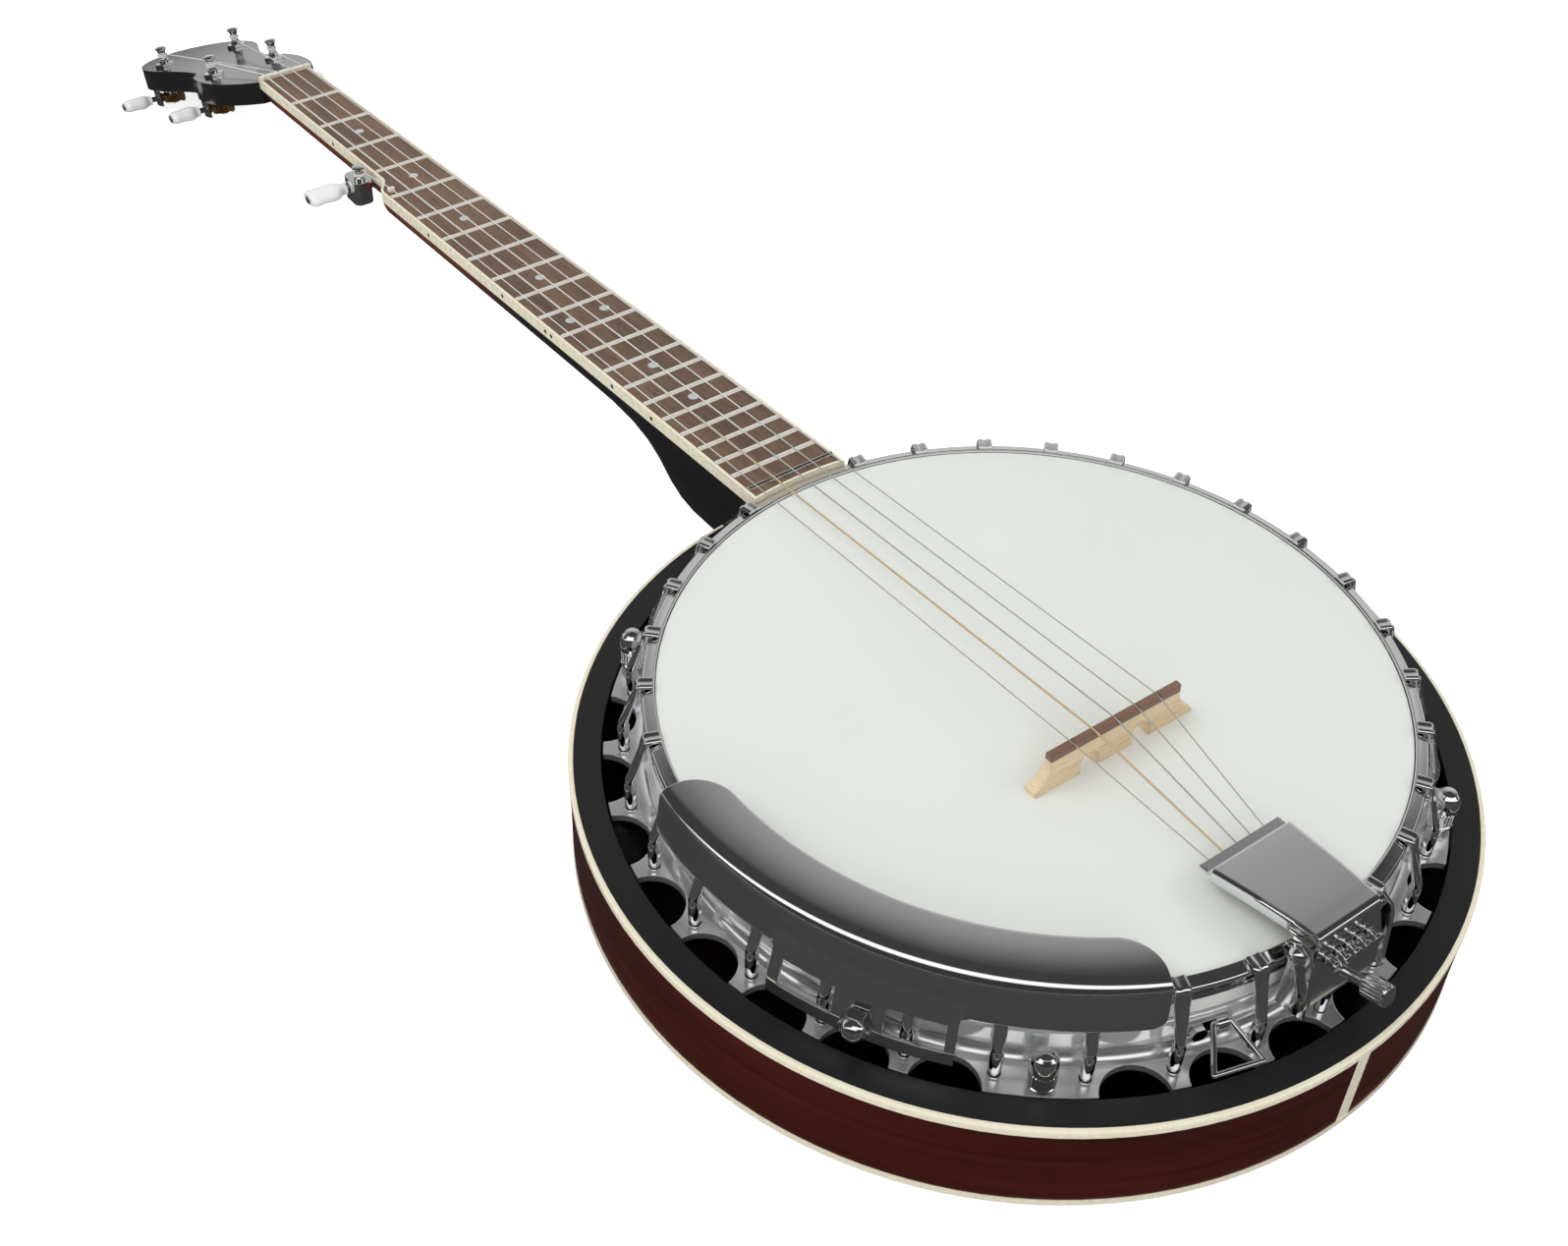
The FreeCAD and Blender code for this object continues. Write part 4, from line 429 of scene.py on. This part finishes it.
def make_materials():
    red = (0.080, 0.008, 0.0035)
    deep_red = (0.036, 0.0035, 0.0018)
    rosewood = grained("rosewood", (0.235, 0.145, 0.090), (0.105, 0.060, 0.038), "along_y",
                       0.0, 0.50, 0.8)
    maple = grained("maple", (0.86, 0.70, 0.47), (0.70, 0.52, 0.31), "along_x", 0.1, 0.45, 0.6)
    cap = grained("bridge_cap", (0.27, 0.145, 0.095), (0.14, 0.07, 0.045), "along_x",
                  0.1, 0.4, 0.6)
    side = grained("side_wood", red, deep_red, "around", 0.12, 0.34, 0.35, 0.25)
    radius = side.split(side.around())[1]
    # painted shade: the inside of the resonator's side is painted near black
    side_look = paint_inside_shade(side, side.spread(radius, SIDE_INSIDE, SIDE_INSIDE + 0.0005, 1.0, 0.0))
    back = grained("back_wood", red, deep_red, "along_y", 0.25, 0.3, 0.35, 0.3)
    height = back.axes()[2]
    # painted shade: the inside face of the resonator's back is painted near black
    back_look = paint_inside_shade(back, back.spread(height, BACK_INSIDE, BACK_INSIDE + 0.0003))
    return {
        "chrome_hardware": chrome(),
        "nickel_steel": satin_steel("nickel_steel", (0.66, 0.65, 0.61), 0.22),
        "cast_flange": cast_metal(),
        "head_film": head_film(),
        "maple": maple.material,
        "bridge_cap_wood": cap.material,
        "fretboard_wood": rosewood.material,
        "neck_wood": neck_finish(),
        "side_wood": side_look,
        "back_wood": back_look,
        "black_rim": lacquer_black("rim_black", 0.38),
        "cream_binding": ivory("binding", (0.92, 0.86, 0.68), (0.88, 0.81, 0.62), 0.4),
        "dot_pearl": plain_dot("dot_pearl", (0.70, 0.72, 0.72), (0.42, 0.44, 0.45)),
        "dot_black": plain_dot("dot_black", (0.02, 0.02, 0.02), (0.01, 0.01, 0.01)),
        "bone_white": ivory("bone", (0.82, 0.78, 0.66), (0.74, 0.68, 0.54), 2.0),
        "button_pearl": pearl(),
        "brass_worm": brass(),
        "string_steel": string_wire(),
        "cover_black": lacquer_black("cover_black", 0.14),
    }


materials = make_materials()
slot_of = {row["node"]: row["material_slot"] for row in frame["record"]["subparts"]}


# ---------------------------------------------------------------- smoothing for carried nodes

def smooth_group(degrees):
    """A modifier that shades faces smooth and keeps edges sharper than an angle."""
    group = bpy.data.node_groups.new("smooth_by_angle", "GeometryNodeTree")
    group.interface.new_socket("Geometry", in_out="INPUT", socket_type="NodeSocketGeometry")
    group.interface.new_socket("Geometry", in_out="OUTPUT", socket_type="NodeSocketGeometry")
    source = group.nodes.new("NodeGroupInput")
    target = group.nodes.new("NodeGroupOutput")
    faces = group.nodes.new("GeometryNodeSetShadeSmooth")
    edges = group.nodes.new("GeometryNodeSetShadeSmooth")
    edges.domain = "EDGE"
    angle = group.nodes.new("GeometryNodeInputMeshEdgeAngle")
    compare = group.nodes.new("FunctionNodeCompare")
    compare.operation = "LESS_EQUAL"
    compare.inputs[1].default_value = math.radians(degrees)
    group.links.new(source.outputs[0], faces.inputs["Geometry"])
    group.links.new(faces.outputs[0], edges.inputs["Geometry"])
    group.links.new(angle.outputs["Unsigned Angle"], compare.inputs[0])
    group.links.new(compare.outputs[0], edges.inputs["Shade Smooth"])
    group.links.new(edges.outputs[0], target.inputs[0])
    return group


SMOOTH = smooth_group(32.0)


def dress(piece, slot):
    piece.data.materials.clear()
    piece.data.materials.append(materials[slot])


def soften(piece):
    if "custom_normal" in piece.data.attributes:
        piece.data.attributes.remove(piece.data.attributes["custom_normal"])
    weld = piece.modifiers.new("weld", "WELD")
    weld.merge_threshold = 0.002 * MM
    shade = piece.modifiers.new("smooth", "NODES")
    shade.node_group = SMOOTH


for name, piece in nodes.items():
    dress(piece, slot_of[name])
    soften(piece)


def two_metals(name, second, chosen):
    """Give some faces of a carried node a second material, chosen by their centre in mm."""
    piece = nodes[name]
    piece.data.materials.append(materials[second])
    for face in piece.data.polygons:
        if chosen(face.center / MM):
            face.material_index = 1


PEGHEAD_TILT = math.radians(17.6)
POST_REACH = 3.4
THREAD_HALF = 4.3


def metal_tuners():
    """Brass gear wheels on chrome posts, and brass worms on chrome axles."""
    across = Vector((0, math.cos(PEGHEAD_TILT), -math.sin(PEGHEAD_TILT)))
    for number in range(1, 5):
        name = "tuner_post_%d" % number
        spots = [vert.co / MM for vert in nodes[name].data.vertices]
        middle_x = (min(spot.x for spot in spots) + max(spot.x for spot in spots)) / 2
        reach = [spot.dot(across) for spot in spots]
        middle = (min(reach) + max(reach)) / 2

        def on_wheel(spot):
            return math.hypot(spot.x - middle_x, spot.dot(across) - middle) > POST_REACH

        def on_axle(spot):
            return abs(spot.x - middle_x) > THREAD_HALF

        two_metals(name, "brass_worm", on_wheel)
        two_metals("tuner_worm_%d" % number, "chrome_hardware", on_axle)


metal_tuners()


# ---------------------------------------------------------------- mesh helpers

def clock(radius, degrees, height):
    """A point at a clock angle from +Y towards +X, in millimetres."""
    turn = math.radians(degrees)
    return Vector((radius * math.sin(turn), radius * math.cos(turn), height))


def new_piece(name, points, faces, slot, body="root", sharp=True):
    """A mesh piece from points in millimetres, riding on a body."""
    mesh = bpy.data.meshes.new(name)
    mesh.from_pydata([tuple(point * MM) for point in points], [], faces)
    mesh.materials.append(materials[slot])
    piece = bpy.data.objects.new(name, mesh)
    bpy.context.scene.collection.objects.link(piece)
    for face in mesh.polygons:
        face.use_smooth = True
    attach(piece, body)
    if sharp:
        shade = piece.modifiers.new("smooth", "NODES")
        shade.node_group = SMOOTH
    return piece


def tube_faces(rings, size, first=0):
    """Quads round a run of equal rings of points, with a cap at each end."""
    faces = []
    for ring in range(rings - 1):
        low = first + ring * size
        for spot in range(size):
            after = (spot + 1) % size
            faces.append((low + spot, low + after, low + size + after, low + size + spot))
    last = first + (rings - 1) * size
    faces.append(tuple(reversed(range(first, first + size))))
    faces.append(tuple(range(last, last + size)))
    return faces


def rounded(corners, radii, steps=6):
    """A path through corners with each inner corner rounded by its radius."""
    path = [corners[0]]
    for before, corner, after, radius in zip(corners, corners[1:], corners[2:], radii):
        to_before = (before - corner).normalized()
        to_after = (after - corner).normalized()
        half = to_before.angle(to_after) / 2
        reach = radius / math.tan(half)
        start = corner + to_before * reach
        end = corner + to_after * reach
        centre = corner + (to_before + to_after).normalized() * (radius / math.sin(half))
        for step in range(steps + 1):
            spoke = (start - centre).lerp(end - centre, step / steps)
            path.append(centre + spoke.normalized() * radius)
    path.append(corners[-1])
    return path


def sheet(name, grid, keep, slot, thick, body="root"):
    """A bent metal sheet: grid[row][column] of points, with only the wanted cells kept."""
    width = len(grid[0])
    points = [point for row in grid for point in row]
    faces = []
    for row in range(len(grid) - 1):
        for column in range(width - 1):
            if keep(row, column):
                low = row * width + column
                faces.append((low, low + 1, low + width + 1, low + width))
    piece = new_piece(name, points, faces, slot, body, sharp=False)
    tidy = bmesh.new()
    tidy.from_mesh(piece.data)
    bmesh.ops.remove_doubles(tidy, verts=tidy.verts, dist=0.001 * MM)
    loose = [vert for vert in tidy.verts if not vert.link_faces]
    bmesh.ops.delete(tidy, geom=loose, context="VERTS")
    tidy.to_mesh(piece.data)
    tidy.free()
    solid = piece.modifiers.new("thickness", "SOLIDIFY")
    solid.thickness = thick * MM
    solid.offset = 1.0
    solid.use_even_offset = True
    rim = piece.modifiers.new("rim", "BEVEL")
    rim.width = 0.28 * thick * MM
    rim.segments = 3
    rim.limit_method = "ANGLE"
    rim.angle_limit = math.radians(50)
    shade = piece.modifiers.new("smooth", "NODES")
    shade.node_group = SMOOTH
    return piece


# ---------------------------------------------------------------- tension hoop

HOOP_SIDES = 288


def arc_points(centre, radius, start, end, steps):
    """Radius and height along an arc, with angles from the outward direction, in degrees."""
    points = []
    for step in range(steps + 1):
        turn = math.radians(start + (end - start) * step / steps)
        points.append((centre[0] + radius * math.cos(turn), centre[1] + radius * math.sin(turn)))
    return points


def make_hoop():
    """A hoop with a rounded inner lip and a sloping top that rolls over to its skirt."""
    low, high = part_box("tension_hoop")
    foot = low.z / MM
    top = high.z / MM
    outline = [(138.2, foot), *arc_points((138.75, top - 0.55), 0.55, 180.0, 60.0, 6),
               (139.6, top - 0.35), (141.7, top - 0.95),
               *arc_points((141.8, top - 2.35), 1.4, 70.0, -30.0, 9),
               (142.3, top - 4.0), (142.3, foot + 1.6), (142.7, foot + 1.1), (142.7, foot)]
    size = len(outline)
    points = []
    faces = []
    for side in range(HOOP_SIDES):
        after = (side + 1) % HOOP_SIDES
        for spot, (radius, height) in enumerate(outline):
            points.append(clock(radius, 360.0 * side / HOOP_SIDES, height))
            follow = (spot + 1) % size
            faces.append((side * size + spot, side * size + follow,
                          after * size + follow, after * size + spot))
    piece = new_piece("tension_hoop_look", points, faces, "chrome_hardware")
    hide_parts("tension_hoop")


# ---------------------------------------------------------------- bracket hooks

HOOK_SIDES = 20
HOOK_STEP = 11.25                   # degrees between hooks
HOOK_COUNT = 31
HOOK_LEFT_OUT = 16                  # the tailpiece bracket stands here
HOOK_RADIUS = 150.0
HOOK_BEND = 56.5
HOOK_END = 31.2
SHANK = 4.0
NUT_PROFILE = ((1.0, 2.0), (1.6, 2.35), (11.2, 2.35), (11.8, 1.95), (24.0, 1.95))


def hook_section(centre, along, width, thick, square, groove):
    """One cross-section of a hook: round at the shank and a grooved flat bar at the claw."""
    outward = Vector((0, -along.z, along.y))
    ring = []
    for step in range(HOOK_SIDES):
        turn = 2 * math.pi * (step + 0.5) / HOOK_SIDES
        across = math.copysign(abs(math.cos(turn)) ** square, math.cos(turn))
        out = math.copysign(abs(math.sin(turn)) ** square, math.sin(turn))
        height = out * thick / 2
        if out > 0:
            height -= groove * math.exp(-(across / 0.30) ** 2)
        ring.append(centre + Vector((across * width / 2, 0, 0)) + outward * height)
    return ring


def hook_rings():
    """Cross-sections from the claw over the hoop to the end of the shank, at the +Y side."""
    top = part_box("tension_hoop")[1].z / MM
    corners = [Vector((0, 138.9, top + 0.75)), Vector((0, 144.3, top + 0.75)),
               Vector((0, 145.6, top - 5.0)), Vector((0, HOOK_RADIUS, HOOK_BEND)),
               Vector((0, HOOK_RADIUS, HOOK_END))]
    path = rounded(corners, (1.5, 6.0, 5.0), 5)
    middle = path[-2].z
    rings = []
    for number, centre in enumerate(path):
        before = path[max(number - 1, 0)]
        after = path[min(number + 1, len(path) - 1)]
        along = (after - before).normalized()
        flat = min(1.0, max(0.0, (centre.z - middle) / 13.0))
        claw = min(1.0, max(0.0, (centre.z - 66.0) / 5.0))
        width = SHANK + 1.0 * min(1.0, flat * 1.2) + 0.9 * claw
        thick = SHANK - 2.5 * min(1.0, flat * 1.6) + 0.5 * claw
        rings.append(hook_section(centre, along, width, thick, 1.0 - 0.25 * flat, 0.9 * claw))
    shank = path[-2]
    for drop, radius in NUT_PROFILE:
        centre = shank - Vector((0, 0, drop))
        rings.append(hook_section(centre, Vector((0, 0, -1)), 2 * radius, 2 * radius, 1.0, 0.0))
    rings.pop(len(path) - 1)
    return rings


def make_hooks():
    rings = hook_rings()
    points = []
    faces = []
    for number in range(1, HOOK_COUNT + 1):
        if number == HOOK_LEFT_OUT:
            continue
        turn = Matrix.Rotation(math.radians(-HOOK_STEP * number), 3, "Z")
        faces += tube_faces(len(rings), HOOK_SIDES, len(points))
        points += [turn @ point for ring in rings for point in ring]
    piece = new_piece("bracket_hooks_look", points, faces, "chrome_hardware")
    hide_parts("bracket_hooks")


# ---------------------------------------------------------------- armrest

SHEET_THICK = 1.2
ARM_START = 205.3
ARM_END = 278.8
ARM_RADIUS = 140.0
ARM_INNER = 127.5
ARM_INNER_BOW = 2.6                 # how much further out the inner edge is at the ends
ARM_OUTER = 147.9
ARM_OUTER_BOW = 1.4
ARM_CREST = 139.5                   # radius of the dome's highest line
INNER_FALL = 0.0052
OUTER_FALL = 0.0080
ROLL_WIDTH = 4.4
ARM_CORNER = 14.0
SKIRT_CORNER = 5.0
SKIRT_END_CORNER = 1.5
ARM_LOW = 68.4
TAB_START = 230.0
TAB_END = 254.8
WINDOWS = ((231.3, 238.9), (245.6, 253.2))
TAB_TOP = 76.0
TAB_RADIUS = 154.2
SKIRT_FLARE = 0.09
TAB_LOW = 49.0
WINDOW_LOW = 55.0
WINDOW_HIGH = 65.5


def end_rise(distance, corner):
    """How far a rounded corner cuts in at a distance from the end."""
    if distance >= corner:
        return 0.0
    return corner - math.sqrt(max(0.0, corner ** 2 - (corner - distance) ** 2))


def tab_share(angle):
    """One over the tab, falling to zero just beside it."""
    beside = max(TAB_START - angle, angle - TAB_END, 0.0)
    return max(0.0, 1.0 - beside / 0.8)


def armrest_profile(angle, top):
    """Radius and height from the inner edge, over the rolled outer edge, to the tab's foot."""
    distance = min(angle - ARM_START, ARM_END - angle)
    along = (angle - (ARM_START + ARM_END) / 2) / ((ARM_END - ARM_START) / 2)
    arc = math.radians(distance) * ARM_RADIUS
    inner = ARM_INNER + ARM_INNER_BOW * along ** 2 + end_rise(arc, ARM_CORNER)
    low = ARM_LOW + end_rise(arc, SKIRT_CORNER if along < 0 else SKIRT_END_CORNER)
    outer = ARM_OUTER + ARM_OUTER_BOW * along ** 2
    flat_end = outer - ROLL_WIDTH + ARM_OUTER_BOW * along ** 2
    path = []
    for step in range(15):
        radius = inner + (flat_end - inner) * step / 14
        fall = INNER_FALL if radius < ARM_CREST else OUTER_FALL
        path.append((radius, top - fall * (radius - ARM_CREST) ** 2))
    lean = math.atan(2 * OUTER_FALL * (flat_end - ARM_CREST))
    roll = (outer - flat_end) / (1 - math.sin(lean))
    middle = path[-1][1] - roll * math.cos(lean)
    for step in range(1, 13):
        turn = lean + (math.pi / 2 - lean) * step / 12
        path.append((outer - roll * (1 - math.sin(turn)), middle + roll * math.cos(turn)))
    shoulder = path[-1][1]
    tab_start = outer + SKIRT_FLARE * (shoulder - TAB_TOP)
    heights = [shoulder + (TAB_TOP - 0.5 - shoulder) * share for share in (0.3, 0.6, 1.0)]
    heights += [TAB_TOP - 1.7, low + 0.5, low, WINDOW_HIGH + 0.4, WINDOW_HIGH, 60.0,
                WINDOW_LOW, WINDOW_LOW - 0.4, TAB_LOW + 0.4, TAB_LOW]
    for height in heights:
        skirt = outer + SKIRT_FLARE * (shoulder - max(height, low))
        share = (TAB_TOP - min(TAB_TOP, max(WINDOW_LOW, height))) / (TAB_TOP - WINDOW_LOW)
        tab = tab_start + (TAB_RADIUS - tab_start) * share
        path.append((skirt + max(0.0, tab - skirt) * tab_share(angle), height))
    return path


def make_armrest():
    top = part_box("armrest")[1].z / MM
    stops = [ARM_START, *(edge for window in WINDOWS for edge in window),
             TAB_START, TAB_END, ARM_END]
    angles = {stop + shift for stop in stops[1:-1] for shift in (-0.15, 0.0, 0.15)}
    angles |= {ARM_START, ARM_END}
    step = 0.0
    while step < 1.0:
        angles.add(ARM_START + (ARM_END - ARM_START) * step)
        step += 1 / 90
    for share in (0.04, 0.1, 0.2, 0.35, 0.55, 0.8, 1.1, 1.5, 2.0, 2.6, 3.2, 4.0, 4.9):
        angles.add(ARM_START + share)
        angles.add(ARM_END - share)
    angles = sorted(angles)
    thinned = [angles[0]]
    for angle in angles[1:]:
        if angle - thinned[-1] > 0.03:
            thinned.append(angle)
    columns = [armrest_profile(angle, top) for angle in thinned]
    rows = len(columns[0])
    grid = [[clock(*(column[row][0], angle, column[row][1]))
             for angle, column in zip(thinned, columns)] for row in range(rows)]
    tab_row = rows - 8
    window_row = rows - 6

    def keep(row, column):
        middle = (thinned[column] + thinned[column + 1]) / 2
        if row < tab_row:
            return True
        if not TAB_START < middle < TAB_END:
            return False
        in_window = any(start < middle < end for start, end in WINDOWS)
        return not (in_window and window_row <= row < window_row + 2)

    piece = sheet("armrest_look", grid, keep, "chrome_hardware", SHEET_THICK)
    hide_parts("armrest")


# ---------------------------------------------------------------- tailpiece cover

LID_FRONT = -107.5
LID_LENGTH = 41.2
LID_HALF = 19.4
LID_TAPER = 4.0
LID_ARCH = 0.6
LID_MIDDLE = -128.7
LID_REACH = 21.2


def cover_half(y):
    """Half width of the lid, which narrows towards the tail."""
    return LID_HALF + (y - LID_FRONT) * (LID_TAPER / LID_LENGTH)


def make_cover():
    """A folded sheet: lip, step, lid with side skirts, and the plate behind."""
    corners = [Vector((0, -102.6, 82.5)), Vector((0, -106.8, 82.6)), Vector((0, -107.6, 85.0)),
               Vector((0, -149.9, 89.6)), Vector((0, -154.6, 60.6))]
    path = rounded(corners, (1.0, 0.8, 2.4), 6)
    skirt = ((-1.0, 4.6), (-1.0, 3.4), (-1.0, 1.6), (-0.985, 0.7), (-0.95, 0.15), (-0.90, 0.0))
    inner = [(-0.89 + 1.78 * step / 12, 0.0) for step in range(13)]
    columns = [*skirt, *inner, *((-across, drop) for across, drop in reversed(skirt))]
    dense = []
    for first, second in zip(path, path[1:]):
        gap = (second - first).length
        shares = [0.0]
        if gap > 2.0:
            steps = int(gap / 4.0) + 1
            shares += [0.2 / gap, *(step / steps for step in range(1, steps)), 1 - 0.2 / gap]
        dense += [first.lerp(second, share) for share in shares]
    dense.append(path[-1])
    grid = []
    for spot in dense:
        if spot.z < 86.0 and spot.y < -120.0:
            half = 15.3 + 2.1 * min(1.0, (86.0 - spot.z) / 10.0)
        elif spot.y < -107.0:
            half = cover_half(spot.y)
        else:
            half = 19.9
        along = (spot.y - LID_MIDDLE) / LID_REACH
        arch = LID_ARCH * max(0.0, 1.0 - along * along) if spot.z > 84.0 else 0.0
        row = []
        for across, drop in columns:
            row.append(Vector((across * half, spot.y, spot.z + arch - drop)))
        grid.append(row)
    edge = len(skirt) - 2

    def keep(row, column):
        in_skirt = column < edge or column >= len(columns) - 1 - edge
        centre = (dense[row] + dense[row + 1]) / 2
        on_lid = -147.0 < centre.y < -108.2
        return on_lid or not in_skirt

    for row, spot in zip(grid, dense):
        if not -147.2 < spot.y < -108.0:
            for column, point in enumerate(row):
                point.z = spot.z
    piece = sheet("tailpiece_cover_look", grid, keep, "chrome_hardware", SHEET_THICK,
                  "tailpiece")
    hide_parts("tailpiece_cover")


BUTTON_SCREWS = (("tuner_button_1", "tuner_knob_1", 1), ("tuner_button_2", "tuner_knob_2", 1),
                 ("tuner_button_3", "tuner_knob_3", -1), ("tuner_button_4", "tuner_knob_4", -1),
                 ("fifth_tuner_button", "fifth_knob", -1))


SCREW_OUTLINE = ((0.0, 2.3), (0.35, 2.25), (0.65, 1.9), (0.85, 1.2))
SCREW_SIDES = 24


def make_button_screws():
    """The screw in the end of each button, as a domed disc."""
    for node, body, side in BUTTON_SCREWS:
        low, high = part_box(node)
        centre = (low + high) / 2 / MM
        end = (high.x if side > 0 else low.x) / MM
        points = []
        for out, radius in SCREW_OUTLINE:
            for step in range(SCREW_SIDES):
                turn = side * math.tau * step / SCREW_SIDES
                points.append(Vector((end + side * (out - 0.1), centre.y + radius * math.cos(turn),
                                      centre.z + radius * math.sin(turn))))
        faces = tube_faces(len(SCREW_OUTLINE), SCREW_SIDES)
        new_piece(node + "_screw", points, faces, "chrome_hardware", body)


make_button_screws()
make_hoop()
make_hooks()
make_armrest()
make_cover()


# ---------------------------------------------------------------- floor, light and camera

FLOOR_REACH = 6.0
MIRROR_START = 0.66
MIRROR_END = 0.85


def make_stage():
    """A floor that is white to the camera and that metal mirrors as dark near the object."""
    low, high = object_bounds()
    mesh = bpy.data.meshes.new("floor")
    centre = (low + high) / 2
    corners = [(centre.x + a * FLOOR_REACH, centre.y + b * FLOOR_REACH, low.z - 0.001)
               for a, b in ((-1, -1), (1, -1), (1, 1), (-1, 1))]
    mesh.from_pydata(corners, [], [(0, 1, 2, 3)])
    floor = bpy.data.objects.new("floor", mesh)
    bpy.context.scene.collection.objects.link(floor)
    paint = Paint("floor_paint", (0.86, 0.86, 0.85), 0.7)
    path = paint.add("ShaderNodeLightPath")
    pale = paint.mix(paint.noise(3.0), (0.86, 0.86, 0.85), (0.89, 0.89, 0.88))
    distance = paint.vector("DOT_PRODUCT", paint.place, tuple(AHEAD), "Value")
    mirror = paint.spread(distance, MIRROR_START, MIRROR_END, 0.045, 0.85)
    mirrored = path.outputs["Is Glossy Ray"]
    paint.set("Base Color", paint.mix(mirrored, pale, paint.join(mirror, mirror, mirror)))
    paint.set("Emission Color", (1.0, 1.0, 1.0))
    paint.set("Emission Strength", paint.spread(path.outputs["Is Camera Ray"], 0.0, 1.0, 0.0, 0.8))
    mesh.materials.append(paint.material)


def make_light(name, place, target, width, height, power):
    data = bpy.data.lights.new(name, "AREA")
    data.shape = "RECTANGLE"
    data.size = width
    data.size_y = height
    data.energy = power
    lamp = bpy.data.objects.new(name, data)
    lamp.location = place
    lamp.rotation_euler = (Vector(target) - Vector(place)).to_track_quat("-Z", "Y").to_euler()
    lamp.visible_glossy = False
    bpy.context.scene.collection.objects.link(lamp)


SKY_LEVEL = 1.6
SKY = ((0.0, 0.62), (0.15, 0.56), (0.205, 0.38), (0.244, 0.30), (0.278, 0.18), (0.311, 0.09),
       (0.345, 0.05), (0.63, 0.05), (0.66, 1.3), (0.76, 1.3), (0.79, 0.04), (1.0, 0.04))


def make_world():
    """An even pale sky for the light, and a banded sky for what the metal mirrors."""
    world = bpy.data.worlds.new("studio")
    bpy.context.scene.world = world
    world.use_nodes = True
    tree = world.node_tree
    background = tree.nodes["Background"]
    coords = tree.nodes.new("ShaderNodeTexCoord")
    split = tree.nodes.new("ShaderNodeSeparateXYZ")
    forward = tree.nodes.new("ShaderNodeVectorMath")
    forward.operation = "DOT_PRODUCT"
    forward.inputs[1].default_value = AHEAD
    angle = tree.nodes.new("ShaderNodeMath")
    angle.operation = "ARCTAN2"
    share = tree.nodes.new("ShaderNodeMath")
    share.operation = "DIVIDE"
    share.inputs[1].default_value = math.pi
    ramp = tree.nodes.new("ShaderNodeValToRGB")
    tree.links.new(coords.outputs["Generated"], split.inputs["Vector"])
    tree.links.new(coords.outputs["Generated"], forward.inputs[0])
    tree.links.new(split.outputs["Z"], angle.inputs[0])
    tree.links.new(forward.outputs["Value"], angle.inputs[1])
    tree.links.new(angle.outputs[0], share.inputs[0])
    tree.links.new(share.outputs[0], ramp.inputs["Fac"])
    elements = ramp.color_ramp.elements
    while len(elements) < len(SKY):
        elements.new(0.5)
    for element, (place, level) in zip(elements, SKY):
        element.position = place
        element.color = (level / SKY_LEVEL, level / SKY_LEVEL, 0.985 * level / SKY_LEVEL, 1.0)
    path = tree.nodes.new("ShaderNodeLightPath")
    pick = tree.nodes.new("ShaderNodeMix")
    pick.data_type = "RGBA"
    pick.inputs[6].default_value = (0.385, 0.39, 0.395, 1.0)
    tree.links.new(path.outputs["Is Glossy Ray"], pick.inputs[0])
    tree.links.new(ramp.outputs["Color"], pick.inputs[7])
    tree.links.new(pick.outputs[2], background.inputs["Color"])
    background.inputs["Strength"].default_value = SKY_LEVEL
    bpy.context.scene.view_settings.view_transform = "Standard"


CAMERA_ROLL = math.radians(2.28)
LIGHTS = (("key", (-0.9, 0.6, 1.6), (0.0, 0.2, 0.0), 1.4, 1.0, 13.0),
          ("fill", (1.2, -0.8, 1.1), (0.0, 0.1, 0.0), 1.2, 0.8, 5.4),
          ("front", (-0.9, -1.3, 0.7), (0.0, 0.0, 0.0), 0.9, 0.5, 3.6))


def make_camera():
    data = bpy.data.cameras.new("camera")
    data.sensor_width = 36.0
    data.lens = 45.3
    camera = bpy.data.objects.new("camera", data)
    look = (TARGET - EYE).to_track_quat("-Z", "Y") @ Quaternion((0, 0, 1), CAMERA_ROLL)
    camera.location = EYE
    camera.rotation_euler = look.to_euler()
    bpy.context.scene.collection.objects.link(camera)
    bpy.context.scene.camera = camera


make_stage()
make_world()
for light in LIGHTS:
    make_light(*light)
make_camera()
